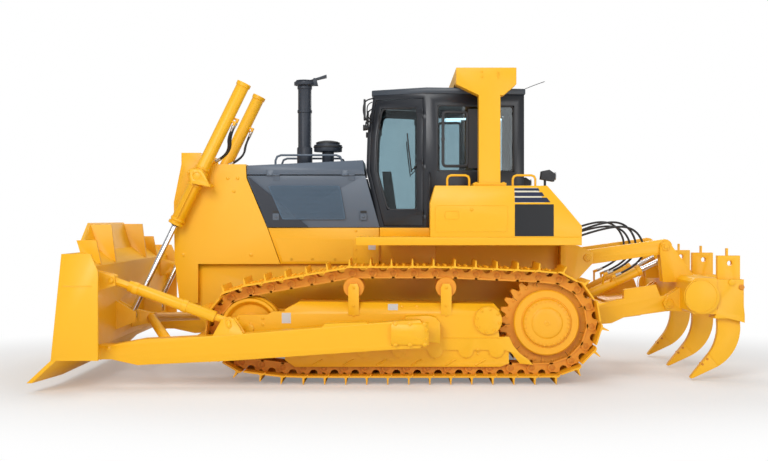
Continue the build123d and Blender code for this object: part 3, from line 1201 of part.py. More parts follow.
rails = []
y, top = FENDER_OUTER - 130, BOX_TOP + 110
for x0, x1 in ((-500, -730), (-1185, -1420)):
    rails.append(rail([(x0, y, BOX_TOP), (x0, y, top), (x1, y, top), (x1, y, BOX_TOP)], RAIL_RADIUS, 40))
y, top = HOOD_RAIL_Y, HOOD_TOP_REAR + HOOD_RAIL_RISE
rear, front = HOOD_RAIL_XS
foot = SEAM_Z + 28
hood_rail = rail([(front, y, foot), (front, y, top), (rear, y, top), (rear, y, foot)], RAIL_RADIUS, 60)
save("hood_rails", both(hood_rail & above_hood))
save("grab_rails", both(Compound([s for r in rails for s in r.solids()])))
lamp = prism([(-1470, 2105), (-1610, 2080), (-1625, 2160), (-1560, 2205), (-1480, 2190)], 960, 1080)
lamp += bar((-1520, 1020, BOX_TOP), (-1520, 1020, 2110), 14, 8)
save("rear_lamps", both(lamp))
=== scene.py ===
import json
from math import atan2, cos, hypot, pi, radians, sin

import bmesh
import bpy
import numpy as np
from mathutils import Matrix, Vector
from mathutils.bvhtree import BVHTree


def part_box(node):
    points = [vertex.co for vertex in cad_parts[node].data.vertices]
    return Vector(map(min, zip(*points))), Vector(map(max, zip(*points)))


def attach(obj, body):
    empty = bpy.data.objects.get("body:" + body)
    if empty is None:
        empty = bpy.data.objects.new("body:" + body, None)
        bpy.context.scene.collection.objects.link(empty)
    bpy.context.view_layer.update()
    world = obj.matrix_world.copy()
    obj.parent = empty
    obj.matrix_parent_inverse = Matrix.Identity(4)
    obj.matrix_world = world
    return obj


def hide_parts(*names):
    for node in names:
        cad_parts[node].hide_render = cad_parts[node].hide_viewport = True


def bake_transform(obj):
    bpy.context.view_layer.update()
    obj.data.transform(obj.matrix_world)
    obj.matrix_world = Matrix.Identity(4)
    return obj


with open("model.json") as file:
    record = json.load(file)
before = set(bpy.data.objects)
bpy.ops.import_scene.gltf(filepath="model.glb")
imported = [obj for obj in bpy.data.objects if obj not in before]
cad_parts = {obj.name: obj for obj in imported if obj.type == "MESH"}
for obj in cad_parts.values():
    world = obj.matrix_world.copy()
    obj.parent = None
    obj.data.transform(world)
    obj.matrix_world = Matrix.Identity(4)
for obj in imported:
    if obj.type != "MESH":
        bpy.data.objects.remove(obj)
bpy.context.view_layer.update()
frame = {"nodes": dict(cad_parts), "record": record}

scene = bpy.context.scene

# ---- Studio -------------------------------------------------------------------------------------
# A level side view across the machine's left side, on a pale floor that fades into a white
# backdrop, under soft lamps.

EYE_DISTANCE = 12.0
EYE_HEIGHT = 1.7
camera = bpy.data.objects.new("camera", bpy.data.cameras.new("camera"))
scene.collection.objects.link(camera)
camera.location = (0, EYE_DISTANCE, EYE_HEIGHT)
camera.rotation_euler = (radians(90), 0, radians(180))
camera.data.sensor_width = 36
camera.data.lens = 49.27
camera.data.shift_x = -0.020
camera.data.shift_y = -0.016
scene.camera = camera
scene.view_settings.view_transform = "Standard"


class Wire:
    """One output of a shader node. Sums, differences and products of wires and numbers add Math nodes."""

    def __init__(self, finish, socket):
        self.finish = finish
        self.socket = socket

    def maths(self, operation, first, second):
        return self.finish.node("ShaderNodeMath", {"operation": operation}, {0: first, 1: second})

    def __add__(self, other):
        return self.maths("ADD", self, other)

    def __rsub__(self, other):
        return self.maths("SUBTRACT", other, self)

    def __mul__(self, other):
        return self.maths("MULTIPLY", self, other)

    __radd__ = __add__
    __rmul__ = __mul__

    def between(self, low, high):
        """0 below low, 1 above high, smooth between them."""
        return self.finish.node("ShaderNodeMapRange", {"interpolation_type": "SMOOTHSTEP"},
                                {"Value": self, "From Min": low, "From Max": high})


class Finish:
    """A material with one Principled shader. Its patterns read Object coordinates, in metres."""

    def __init__(self, name, **sockets):
        self.material = bpy.data.materials.new(name)
        self.material.use_nodes = True
        self.tree = self.material.node_tree
        self.shader = self.tree.nodes["Principled BSDF"]
        self.at = self.node("ShaderNodeTexCoord", {}, {}, "Object")
        for socket, value in sockets.items():
            self.put(socket.replace("_", " ").title().replace("Ior", "IOR"), value)

    def node(self, kind, settings, sockets, output=0):
        """Adds a node: its settings first, then each socket's value or the wire that feeds it."""
        made = self.tree.nodes.new(kind)
        for key, value in settings.items():
            setattr(made, key, value)
        for key, value in sockets.items():
            self.feed(made.inputs[key], value)
        return Wire(self, made.outputs[output])

    def feed(self, socket, value):
        if isinstance(value, Wire):
            self.tree.links.new(value.socket, socket)
        else:
            socket.default_value = value

    def put(self, name, value):
        """Gives one of the Principled shader's own sockets a value or a wire."""
        self.feed(self.shader.inputs[name], value)
        return self

    def noise(self, scale, detail=3, rough=0.55, stretch=(1, 1, 1)):
        """Smooth noise from 0 to 1 with so many swells a metre."""
        place = self.at
        if stretch != (1, 1, 1):
            place = self.node("ShaderNodeMapping", {}, {"Vector": self.at, "Scale": stretch})
        return self.node("ShaderNodeTexNoise", {}, {"Vector": place, "Scale": scale, "Detail": detail,
                                                    "Roughness": rough})

    def mix(self, share, first, second):
        """A colour part of the way from the first to the second."""
        colours = [(*c, 1) if isinstance(c, tuple) and len(c) == 3 else c for c in (first, second)]
        return self.node("ShaderNodeMix", {"data_type": "RGBA"}, {0: share, 6: colours[0], 7: colours[1]}, 2)

    def height(self):
        """The height above the ground."""
        return self.node("ShaderNodeSeparateXYZ", {}, {0: self.at}, 2)

    def bump(self, height, depth, strength=1.0):
        """Feeds a height pattern, so many metres deep, to the shader's normal."""
        made = self.node("ShaderNodeBump", {}, {"Strength": strength, "Distance": depth, "Height": height})
        return self.put("Normal", made)


# The backdrop is white where the camera sees it, also through glass, and half as strong as a light.
white = bpy.data.worlds.new("white")
scene.world = white
white.use_nodes = True
sky = white.node_tree
back = sky.nodes["Background"]
rays = sky.nodes.new("ShaderNodeLightPath")
seen = sky.nodes.new("ShaderNodeMath")
seen.operation = "MAXIMUM"
sky.links.new(rays.outputs["Is Camera Ray"], seen.inputs[0])
sky.links.new(rays.outputs["Is Transmission Ray"], seen.inputs[1])
level = sky.nodes.new("ShaderNodeMapRange")
level.inputs["To Min"].default_value = 0.50
level.inputs["To Max"].default_value = 1.0
sky.links.new(seen.outputs[0], level.inputs["Value"])
sky.links.new(level.outputs[0], back.inputs["Strength"])
back.inputs["Color"].default_value = (1, 1, 1, 1)

floor_paint = Finish("floor_white", roughness=0.9)
floor_paint.put("Base Color", (0.82, 0.82, 0.82, 1))
glow = floor_paint.node("ShaderNodeEmission", {}, {"Color": (1, 1, 1, 1), "Strength": 1.0})
light_path = floor_paint.node("ShaderNodeLightPath", {}, {}, "Is Camera Ray")
oval = floor_paint.node("ShaderNodeMapping", {}, {"Vector": floor_paint.at, "Scale": (0.8, 1.3, 1)})
spread = floor_paint.node("ShaderNodeVectorMath", {"operation": "LENGTH"}, {0: oval}, 1)
fade = light_path * (0.22 + 0.78 * spread.between(3.4, 6.2))
matt = Wire(floor_paint, floor_paint.shader.outputs[0])
blended = floor_paint.node("ShaderNodeMixShader", {}, {0: fade, 1: matt, 2: glow})
floor_paint.tree.links.new(blended.socket, floor_paint.tree.nodes["Material Output"].inputs["Surface"])
FLOOR_HALF = 40
FLOOR_LEVEL = -0.002           # just under the grousers
floor_mesh = bpy.data.meshes.new("floor")
floor_mesh.from_pydata([(-FLOOR_HALF, -FLOOR_HALF, FLOOR_LEVEL), (FLOOR_HALF, -FLOOR_HALF, FLOOR_LEVEL),
                        (FLOOR_HALF, FLOOR_HALF, FLOOR_LEVEL), (-FLOOR_HALF, FLOOR_HALF, FLOOR_LEVEL)],
                       [], [(0, 1, 2, 3)])
floor = bpy.data.objects.new("floor", floor_mesh)
floor.data.materials.append(floor_paint.material)
scene.collection.objects.link(floor)


def lamp(name, place, target, size, power):
    """A square soft box turned to its target."""
    light = bpy.data.lights.new(name, "AREA")
    light.size = size
    light.energy = power
    holder = bpy.data.objects.new(name, light)
    holder.location = place
    holder.rotation_euler = (Vector(target) - Vector(place)).to_track_quat("-Z", "Y").to_euler()
    scene.collection.objects.link(holder)


lamp("key", (5, 13, 8), (0, 0, 1.2), 6, 960)
lamp("fill", (-7, 11, 4), (-0.5, 0, 1.2), 6, 290)
lamp("top", (0, -1, 10), (0, 0, 0), 6, 270)
lamp("rear", (-3, -9, 6), (0, 0, 1), 5, 260)

# ---- Machine enamel -----------------------------------------------------------------------------
# Nearly everything is flame-cut and welded plate, sprayed in one coat of yellow enamel.


def enamel(name, colour, rough):
    """Sprayed enamel: a slow drift of shade, a fine orange peel and a patchy gloss."""
    paint = Finish(name)
    deep = tuple(c * 0.94 for c in colour)
    drift = paint.noise(1.4, 4)
    paint.put("Base Color", paint.mix(drift, colour, deep))
    paint.put("Roughness", rough - 0.06 + 0.12 * paint.noise(7, 3))
    paint.bump(paint.noise(260, 2), 0.0004, 0.25)
    return paint.material


YELLOW = (0.93, 0.475, 0.004)
yellow = enamel("yellow_enamel", YELLOW, 0.42)
grey = enamel("grey_enamel", (0.098, 0.126, 0.168), 0.42)
cab_black = enamel("cab_enamel", (0.018, 0.021, 0.028), 0.32)
roof_slate = enamel("roof_slate", (0.050, 0.062, 0.080), 0.4)
stack_black = enamel("stack_slate", (0.026, 0.034, 0.050), 0.5)
iron = enamel("engine_iron", (0.06, 0.06, 0.062), 0.6)
plastic = enamel("dark_plastic", (0.02, 0.02, 0.022), 0.55)
hard_chrome = Finish("hard_chrome", metallic=1.0)
smear = hard_chrome.noise(14, 3, stretch=(1, 1, 3))
hard_chrome.put("Base Color", hard_chrome.mix(smear, (0.78, 0.78, 0.80), (0.60, 0.61, 0.63)))
hard_chrome.put("Roughness", 0.10 + 0.12 * smear)
hard_chrome.bump(hard_chrome.noise(700, 2), 0.0002, 0.15)
chrome = hard_chrome.material
tinted = Finish("tinted_glass", ior=1.45, transmission_weight=1.0)
film = tinted.noise(3, 4)
tinted.put("Base Color", tinted.mix(film, (0.50, 0.62, 0.66), (0.40, 0.53, 0.58)))
tinted.put("Roughness", 0.01 + 0.05 * film)
glass = tinted.material
paints = {"yellow_paint": yellow, "grey_paint": grey, "black_paint": stack_black, "cab_paint": cab_black,
          "glass": glass, "worn_steel": yellow, "chrome_rod": chrome, "engine_iron": iron,
          "seat_fabric": plastic, "dark_plastic": plastic, "hose_rubber": plastic}

# ---- Hydraulic hoses ----------------------------------------------------------------------------
# Black rubber hoses, two to each lift cylinder and two to each ripper cylinder. Each leaves a steel
# port in line, bends over in one loose arch and goes back into a port on the cylinder's tube.

HOSE = 0.024
SIDES = (("left", 1), ("right", -1))
# A lift cylinder's yoke, the direction down its tube and the one behind it
lift_top = Vector((2.173, 0, 2.150))
lift_down = Vector((0.4386, 0, -0.8987))
lift_back = Vector((-0.8987, 0, -0.4386))
# (up the tube from its yoke, behind the tube's axis, across the machine)
LIFT_ROUTES = ([(0.233, 0.068, 0.460), (0.310, 0.125, 0.470), (0.420, 0.150, 0.560), (0.520, 0.100, 0.636),
                (0.650, 0.100, 0.636)],
               [(0.233, 0.068, 0.415), (0.310, 0.125, 0.425), (0.430, 0.160, 0.510), (0.550, 0.105, 0.592),
                (0.690, 0.105, 0.592)])
RIPPER_ROUTES = ([(-1.935, 0.310, 1.530), (-2.220, 0.314, 1.655), (-2.520, 0.314, 1.655),
                  (-2.660, 0.312, 1.400), (-2.545, 0.310, 1.185), (-2.325, 0.310, 1.095)],
                 [(-1.935, 0.340, 1.480), (-2.270, 0.340, 1.600), (-2.600, 0.341, 1.610),
                  (-2.740, 0.340, 1.370), (-2.630, 0.338, 1.165), (-2.410, 0.338, 1.070)])
LIFT_LENGTHS = (0.494, 0.531)
RIPPER_LENGTHS = (1.327, 1.383)


def spline_points(route):
    """The smooth line whose control points are the route's, as the curve itself gives it."""
    curve = bpy.data.curves.new("route", "CURVE")
    curve.dimensions = "3D"
    curve.resolution_u = 16
    spline = curve.splines.new("NURBS")
    spline.points.add(len(route) - 1)
    for point, place in zip(spline.points, route):
        point.co = (*place, 1)
    spline.order_u = 3
    spline.use_endpoint_u = True
    holder = bpy.data.objects.new("route", curve)
    line = bpy.data.meshes.new_from_object(holder)
    points = np.array([vertex.co for vertex in line.vertices])
    bpy.data.objects.remove(holder)
    return points


def along(path, section):
    """Rings of a (sideways, upwards) section carried along a path without twist: at each point the
    section's plane is turned by the least angle from the one before."""
    path = np.asarray(path, float)
    section = np.asarray(section, float)
    way = np.gradient(path, axis=0)
    way /= np.linalg.norm(way, axis=1)[:, None]
    side = np.cross(way[0], (0, 0, 1) if abs(way[0][2]) < 0.9 else (0, 1, 0))
    rings = []
    for place, heading in zip(path, way):
        side = side - heading * (side @ heading)
        side /= np.linalg.norm(side)
        rings.append(place + section[:, :1] * side + section[:, 1:2] * np.cross(side, heading))
    return np.array(rings)


def skin(rings, loop=False):
    """Quads over rings of points, each ring closed; the first and last ring are capped unless the rows
    themselves close up in a loop."""
    rings = np.asarray(rings, float)
    rows, sides = rings.shape[:2]
    index = np.arange(rows * sides).reshape(rows, sides)
    first = index if loop else index[:-1]
    second = np.roll(index, -1, 0) if loop else index[1:]
    quads = np.stack([first, np.roll(first, -1, 1), np.roll(second, -1, 1), second], -1)
    quads = quads.reshape(-1, 4).tolist()
    if not loop:
        quads += [index[0][::-1].tolist(), index[-1].tolist()]
    return rings.reshape(-1, 3), quads


def circle(radius, sides=12, start=0.0):
    """Points evenly round a circle."""
    turn = start + 2 * pi * np.arange(sides) / sides
    return np.column_stack([radius * np.cos(turn), radius * np.sin(turn)])


def joined(*parts):
    """Several (points, faces) parts as one."""
    points, faces, passed = [], [], 0
    for places, polygons in parts:
        points.append(places)
        faces += [[corner + passed for corner in polygon] for polygon in polygons]
        passed += len(places)
    return np.concatenate(points), faces


def piece(name, part, paint, body=None, replaced=(), crease=35):
    """A mesh piece in metres: its faces turned outwards, its edges sharp past the crease angle."""
    mesh = bpy.data.meshes.new(name)
    mesh.from_pydata(part[0].tolist(), [], part[1])
    shape = bmesh.new()
    shape.from_mesh(mesh)
    bmesh.ops.recalc_face_normals(shape, faces=shape.faces)
    for face in shape.faces:
        face.smooth = True
    shape.to_mesh(mesh)
    shape.free()
    mesh.set_sharp_from_angle(angle=radians(crease))
    mesh.materials.append(paint)
    made = bpy.data.objects.new(name, mesh)
    scene.collection.objects.link(made)
    if body:
        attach(made, body)
    if replaced:
        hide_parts(*replaced)
    return made


def flip(part):
    """The part's mirror image on the machine's other side."""
    return part[0] * (1, -1, 1), part[1]


def on_side(part, side):
    """The part as it is for the left side (1), or its mirror image for the right side (-1)."""
    return part if side > 0 else flip(part)


def pair(part):
    """The part and its mirror image."""
    return joined(part, flip(part))


rubber = Finish("hose_rubber", roughness=0.5)
mottle = rubber.noise(90)
rubber.put("Base Color", rubber.mix(mottle, (0.010, 0.010, 0.011), (0.026, 0.026, 0.028)))
rubber.put("Roughness", 0.42 + 0.2 * mottle)
rubber.bump(rubber.noise(900, 2), 0.0005, 0.4)
hose_black = rubber.material
steel_kit = Finish("zinc_fitting", metallic=1.0)
steel_kit.put("Base Color", steel_kit.mix(steel_kit.noise(60), (0.62, 0.60, 0.55), (0.42, 0.41, 0.40)))
steel_kit.put("Roughness", 0.28 + 0.2 * steel_kit.noise(150))
zinc = steel_kit.material


def hose(name, route, node):
    """A round rubber hose on its route's own spline."""
    line = spline_points(route)
    made = piece(name, skin(along(line, circle(HOSE / 2, 14))), hose_black, None, (node,))
    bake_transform(made)
    return line


# (along the hose from its end, radius) of a fitting: a thick collar, then the sleeve crimped on the hose
FITTING = [(-0.012, 0.016), (-0.010, 0.0185), (0.012, 0.0185), (0.014, 0.0165), (0.016, 0.0155),
           (0.052, 0.0155), (0.055, 0.0130)]


def ferrule(line):
    """The steel fitting on the first end of a hose's line."""
    way = line[1] - line[0]
    way /= np.linalg.norm(way)
    return skin([along([line[0] + way * at, line[0] + way * (at + 0.001)], circle(radius, 12))[0]
                 for at, radius in FITTING])


def plumbed(kind, port, label, route, tube, node):
    """A hose from a port on the machine to a cylinder's tube, with a fitting on each end."""
    line = hose(f"{kind}_hose_{label}", route, node)
    piece(f"{kind}_{port}_fitting_{label}", ferrule(line), zinc, "tractor")
    piece(f"{kind}_tube_fitting_{label}", ferrule(line[::-1]), zinc, tube)


for side_name, side in SIDES:
    for number, (route, length) in enumerate(zip(LIFT_ROUTES, LIFT_LENGTHS), 1):
        spots = [lift_top - lift_down * up + lift_back * back for up, back, y in route]
        places = [(spot.x, side * y, spot.z) for spot, (up, back, y) in zip(spots, route)]
        plumbed("lift", "guard", f"{side_name}_{number}", places, f"lift_tube_{side_name}",
                f"lift_hoses_{side_name}")
    for number, (route, length) in enumerate(zip(RIPPER_ROUTES, RIPPER_LENGTHS), 1):
        places = [(x, side * y, z) for x, y, z in route]
        plumbed("ripper", "tank", f"{side_name}_{number}", places, "ripper_tubes", "ripper_hoses")

# ---- Track chains -------------------------------------------------------------------------------
# Forty-one links a side with a single-grouser shoe bolted on each. The links are forged, cranked so
# that each one's front end laps outside the next one's rear end; the shoes are rolled section.

track_inner, track_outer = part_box("track_left")[0].y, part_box("track_left")[1].y
TRACK_Y = (track_inner + track_outer) / 2
SHOE_HALF = (track_outer - track_inner) / 2
LINKS = 41
RAIL_HALF = 0.105              # rail centre from the chain's middle
# (x, z, radius of the pin line round it) of each wheel that the chain bends round
wheel = {"drive": (-1.525, 0.617, 0.468), "front_roller": (1.140, 0.296, 0.147),
         "idler": (1.545, 0.569, 0.371), "front_carrier": (0.471, 0.985, 0.147),
         "rear_carrier": (-0.482, 0.985, 0.147)}


def chain_line():
    """The pin line as a closed run of points: arcs round each wheel joined by their common tangents."""
    rounds = list(wheel.values())
    heads = []
    for (x0, z0, r0), (x1, z1, r1) in zip(rounds, rounds[1:] + rounds[:1]):
        heads.append(atan2(z1 - z0, x1 - x0) + np.arcsin((r0 - r1) / hypot(x1 - x0, z1 - z0)))
    points = []
    for i, (x, z, r) in enumerate(rounds):
        turn = heads[i - 1] + (heads[i] - heads[i - 1]) % (2 * pi) * np.linspace(0, 1, 40)
        points.append(np.column_stack([x + r * np.sin(turn), z - r * np.cos(turn)]))
    return np.concatenate(points)


def chain_pins():
    """Pin centres spaced evenly along the pin line, from half a pitch into the sprocket's arc."""
    line = chain_line()
    line = np.vstack([line, line[:1]])
    passed = np.concatenate([[0], np.cumsum(np.linalg.norm(np.diff(line, axis=0), axis=1))])
    at = (np.arange(LINKS) + 0.5) * passed[-1] / LINKS
    return np.column_stack([np.interp(at, passed, line[:, 0]), np.interp(at, passed, line[:, 1])])


pins = chain_pins()
steps = np.roll(pins, -1, 0) - pins
pitches = np.linalg.norm(steps, axis=1)
PITCH = pitches.mean()


def on_links(part, sides=(1,)):
    """The part repeated on every link of the left chain. Its points are (share of the link's length,
    across, outwards); each is carried into the link's own directions. Sides 1 and -1 put it outside and
    inside the chain's middle."""
    share, across, out = part[0].T
    places, faces = [], []
    for side in sides:
        for i in range(LINKS):
            along_x, along_z = steps[i]
            x = pins[i, 0] + along_x * share + along_z / pitches[i] * out
            z = pins[i, 1] + along_z * share - along_x / pitches[i] * out
            places.append(np.column_stack([x, TRACK_Y + side * across, z]))
            faces += [[corner + len(part[0]) * (len(places) - 1) for corner in face] for face in part[1]]
    return np.concatenate(places), faces


def plate(outline, low, high):
    """A flat outline carried from low to high along the middle of its three axes."""
    outline = np.asarray(outline, float)
    ring = np.insert(outline, 1, low, axis=1)
    far = ring.copy()
    far[:, 1] = high
    return skin(np.array([ring, far]))


def round_part(radius, low, high, sides, ease):
    """A short round bar along the middle axis, its edge bevelled by a share of its radius."""
    edge = radius * ease
    sizes = (radius - edge, radius, radius, radius - edge)
    levels = (low, low + edge, high - edge, high)
    return skin([np.insert(circle(size, sides), 1, level, axis=1) for size, level in zip(sizes, levels)])


def arc(x, z, radius, first, last, count):
    """Points on an arc in degrees."""
    turn = np.radians(np.linspace(first, last, count))
    return [(x + radius * cos(a), z + radius * sin(a)) for a in turn]


# The shoe's section: plate, tall grouser near its rear edge, and the lip curled in behind it.
FACE = 0.060                   # the shoe's inner face from the pin line
SHOE = 0.017                   # its thickness
shoe_outline = [(0.76, FACE + 0.006), (0.745, FACE + SHOE), (0.03, FACE + SHOE),
                (-0.035, FACE + SHOE + 0.006), (-0.058, FACE + 0.080), (-0.072, FACE + 0.089),
                (-0.098, FACE + 0.089), (-0.112, FACE + 0.080), (-0.135, FACE + SHOE + 0.004),
                (-0.20, FACE + SHOE + 0.001), (-0.262, FACE + 0.010), (-0.298, FACE - 0.006),
                (-0.300, FACE - 0.018), (-0.272, FACE - 0.012), (-0.235, FACE - 0.003), (-0.17, FACE),
                (0.70, FACE)]
shoes = on_links(plate(shoe_outline, -SHOE_HALF, SHOE_HALF))
hexagon = circle(0.017, 6)
shoe_bolts = []
for share in (0.16, 0.50):
    for across in (RAIL_HALF - 0.03, RAIL_HALF + 0.03):
        rings = [np.column_stack([share + hexagon[:, 0] * size / PITCH, across + hexagon[:, 1] * size,
                                  np.full(6, FACE + SHOE + high)])
                 for size, high in ((1, -0.002), (1, 0.011), (0.7, 0.015))]
        shoe_bolts.append(on_links(skin(rings), (1, -1)))

# The link: a rail edge inside, bosses round the pins, two pads under the shoe and a half-moon window.
BOSS = 0.044
LINK_HALF = 0.014              # half its thickness
CRANK = 0.012                  # how far each end stands off its middle


def link_side():
    """The link seen from the side, as (share of the pitch, outwards), counter-clockwise."""
    boss_front = [(1 + x / PITCH, z) for x, z in arc(0, 0, BOSS, -62, 55, 7)]
    boss_rear = [(x / PITCH, z) for x, z in arc(0, 0, BOSS, 125, 242, 7)]
    window = [(0.5 + x / PITCH, z) for x, z in arc(0, FACE - 0.004, 0.041, 0, -180, 9)]
    front_pad = [(0.94, 0.050), (0.90, FACE), (0.715, FACE)]
    rear_pad = [(0.285, FACE), (0.10, FACE), (0.06, 0.050)]
    return [(-0.02, -0.052), (1.02, -0.052)] + boss_front + front_pad + window + rear_pad + boss_rear


def cranked(outline):
    """The outline as a plate whose front end stands outside the line of its rear end."""
    outline = np.array(outline)
    crank = CRANK * np.clip((outline[:, 0] - 0.5) / 0.16, -1, 1)
    ring = np.column_stack([outline[:, 0], RAIL_HALF - LINK_HALF + crank, outline[:, 1]])
    far = np.column_stack([outline[:, 0], RAIL_HALF + LINK_HALF + crank, outline[:, 1]])
    return skin(np.array([ring, far]))


rail_bar = plate([(-0.06, -0.0535), (1.06, -0.0535), (1.06, -0.036), (-0.06, -0.036)],
                 RAIL_HALF - 0.026, RAIL_HALF + 0.026)
links = [on_links(cranked(link_side()), (1, -1)), on_links(rail_bar, (1, -1))]


def on_pin(radius, low, high, sides, ease):
    """A round part about each link's rear pin."""
    places, faces = round_part(radius, low, high, sides, ease)
    return places / (PITCH, 1, 1), faces


bushing = on_pin(0.030, -0.08, 0.08, 10, 0.0)
pin_end = on_pin(0.019, RAIL_HALF, RAIL_HALF + 0.034, 10, 0.25)
pin_boss = on_pin(0.033, RAIL_HALF, RAIL_HALF + 0.029, 12, 0.15)
pin_parts = [on_links(bushing), on_links(pin_end, (1, -1)), on_links(pin_boss, (1, -1))]


def enamel_shaded_low(name, colour, deep, rough):
    """Enamel on the running gear: sprayed over forged steel, so duller. Painted shade makes it darker towards
    the ground, and a cloudy mottle of a browner tone lies over it."""
    paint = Finish(name)
    height = paint.height()
    cloud = paint.noise(5, 4)
    # painted shade: darker towards the ground; the cloud adds a random browner mottle
    ground_shade_and_mottle = (1 - height.between(0.05, 0.9)) * 0.35 + cloud * 0.45
    paint.put("Base Color", paint.mix(ground_shade_and_mottle, colour, deep))
    paint.put("Roughness", rough - 0.05 + 0.15 * paint.noise(18, 3))
    grit = paint.noise(320, 3)
    paint.bump(grit, 0.0008, 0.35)
    return paint.material


# painted shade: the link and pin enamels are darker, browner copies of the shoes' yellow, for parts under the
# shoes, between the links and behind the guards
shoe_paint = enamel_shaded_low("shoe_enamel", YELLOW, (0.80, 0.36, 0.012), 0.46)
shaded_link_paint = enamel_shaded_low("link_enamel_shaded", (0.86, 0.36, 0.014), (0.62, 0.21, 0.014), 0.5)
shaded_pin_paint = enamel_shaded_low("pin_enamel_shaded", (0.72, 0.27, 0.014), (0.5, 0.16, 0.012), 0.55)
for side_name, side in SIDES:
    node = f"track_{side_name}"
    piece(f"shoes_{side_name}", on_side(shoes, side), shoe_paint, "tractor", (node,), 28)
    piece(f"shoe_bolts_{side_name}", on_side(joined(*shoe_bolts), side), shoe_paint, "tractor")
    piece(f"links_{side_name}", on_side(joined(*links), side), shaded_link_paint, "tractor", (), 28)
    piece(f"track_pins_{side_name}", on_side(joined(*pin_parts), side), shaded_pin_paint, "tractor")

# ---- Sprocket and final drive -------------------------------------------------------------------
# A cast toothed ring bolted in segments to the drive's hub. Outside it stands the planetary case: a
# broad disc with a ring of bolts round a stepped, domed cover.

drive_x, drive_z, drive_pins = wheel["drive"]
TEETH = 27
SEGMENTS = 9


def turned(profile, x, z, sides):
    """A surface of revolution about an axle along Y: the profile gives (across, radius) from one end
    to the other, and its ends close on the axle or in a flat disc."""
    profile = np.asarray(profile, float)
    turn = 2 * pi * np.arange(sides) / sides
    rings = np.stack([x + profile[:, 1:2] * np.cos(turn), np.repeat(profile[:, :1], sides, 1),
                      z + profile[:, 1:2] * np.sin(turn)], -1)
    return skin(rings)


def eased(profile, ease):
    """A profile with each inner corner cut by a small bevel, so that its edges catch the light."""
    profile = [np.array(point, float) for point in profile]
    points = [profile[0]]
    for before, corner, after in zip(profile, profile[1:], profile[2:]):
        back, on = before - corner, after - corner
        for reach in (back, on):
            length = np.linalg.norm(reach)
            points.append(corner + reach / length * min(ease, length * 0.4))
    return np.array(points + [profile[-1]])


def ring_of(part, x, z, radius, count, start=0.0):
    """A part made about the axle's line at the origin, repeated round an axle at a radius."""
    placed = []
    for i in range(count):
        turn = start + 2 * pi * i / count
        placed.append((part[0] + (x + radius * cos(turn), 0, z + radius * sin(turn)), part[1]))
    return joined(*placed)


def bolt(across, radius=0.014, height=0.011, washer=True):
    """A hexagon bolt head standing outwards along Y from a face, with its washer."""
    head = circle(radius, 6, 0.3)
    rings = [np.insert(head * size, 1, across + high, axis=1)
             for size, high in ((1, -0.004), (1, height * 0.8), (0.72, height))]
    parts = [skin(rings)]
    if washer:
        base = circle(radius * 1.45, 12)
        parts.append(skin([np.insert(base * size, 1, across + high, axis=1)
                           for size, high in ((1, -0.004), (1, 0.0022), (0.94, 0.003))]))
    return joined(*parts)


def toothed(across, thick, ease):
    """The sprocket's rim: a polar curve with rounded roots that cup the chain's bushings."""
    turn = 2 * pi * np.arange(TEETH * 12) / (TEETH * 12)
    swell = np.cos(TEETH * turn)
    reach = drive_pins * (0.985 + 0.075 * np.clip(swell * 1.25, -1, 0.75))
    rings = []
    for level, cut in ((-thick, ease), (-thick + ease, 0), (thick - ease, 0), (thick, ease)):
        rings.append(np.column_stack([drive_x + (reach - cut) * np.sin(turn),
                                      np.full(len(turn), across + level),
                                      drive_z - (reach - cut) * np.cos(turn)]))
    return skin(np.array(rings))


RING_HALF = 0.034              # half the ring's thickness
face_y = TRACK_Y + RING_HALF
ring_bolts = ring_of(bolt(face_y, 0.013, 0.012), drive_x, drive_z, 0.405, TEETH, pi / TEETH)
seams = []
for i in range(SEGMENTS):
    turn = 2 * pi * i / SEGMENTS + pi / TEETH
    way = np.array([sin(turn), 0, -cos(turn)])
    side_way = np.array([cos(turn), 0, sin(turn)])
    rim = np.array([(drive_x, face_y, drive_z) + way * reach + side_way * half
                    for reach, half in ((0.372, -0.002), (0.372, 0.002), (0.470, 0.002), (0.470, -0.002))])
    seams.append(skin(np.array([rim - (0, 0.01, 0), rim + (0, 0.0006, 0)])))
piece("sprocket_rings", pair(toothed(TRACK_Y, RING_HALF, 0.007)), shaded_link_paint, "tractor", ("sprockets",), 25)
piece("sprocket_bolts", pair(ring_bolts), shaded_link_paint, "tractor")
piece("sprocket_seams", pair(joined(*seams)), enamel("seam_shadow", (0.10, 0.035, 0.004), 0.8), "tractor")

hull_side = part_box("main_frame")[1].y
# (across, radius) of the case from the hull outwards
outer_drive = [(hull_side, 0), (hull_side, 0.215), (0.70, 0.215), (0.76, 0.300), (0.80, 0.330),
               (0.93, 0.330), (0.95, 0.240), (1.05, 0.240), (1.052, 0.335), (1.075, 0.340),
               (1.098, 0.340), (1.110, 0.328), (1.112, 0.262), (1.106, 0.258), (1.106, 0.250),
               (1.128, 0.246), (1.142, 0.236), (1.147, 0.212), (1.148, 0.166), (1.152, 0.158),
               (1.160, 0.150), (1.166, 0.132), (1.1692, 0.090), (1.170, 0.046), (1.170, 0.0)]
covers = [turned(outer_drive, drive_x, drive_z, 96)]
covers.append(ring_of(bolt(1.146, 0.0105, 0.010), drive_x, drive_z, 0.226, 30))
plug = turned([(1.150, 0), (1.150, 0.026), (1.163, 0.026), (1.166, 0.022), (1.166, 0)],
              drive_x - 0.105, drive_z + 0.085, 24)
centre = turned([(1.165, 0), (1.165, 0.030), (1.173, 0.030), (1.175, 0.026), (1.175, 0.014), (1.172, 0.012),
                 (1.172, 0)], drive_x, drive_z, 32)
drive_paint = enamel("drive_enamel", (0.92, 0.44, 0.012), 0.40)
piece("final_drive_covers", pair(joined(*covers)), drive_paint, "tractor", ("final_drives",), 25)
piece("final_drive_plugs", pair(joined(plug, centre)), drive_paint, "tractor")

# ---- Idlers and rollers -------------------------------------------------------------------------
# Cast front idlers with a raised middle tread; lubricated rollers with double flanges under the frame
# and plain ones on posts above it.


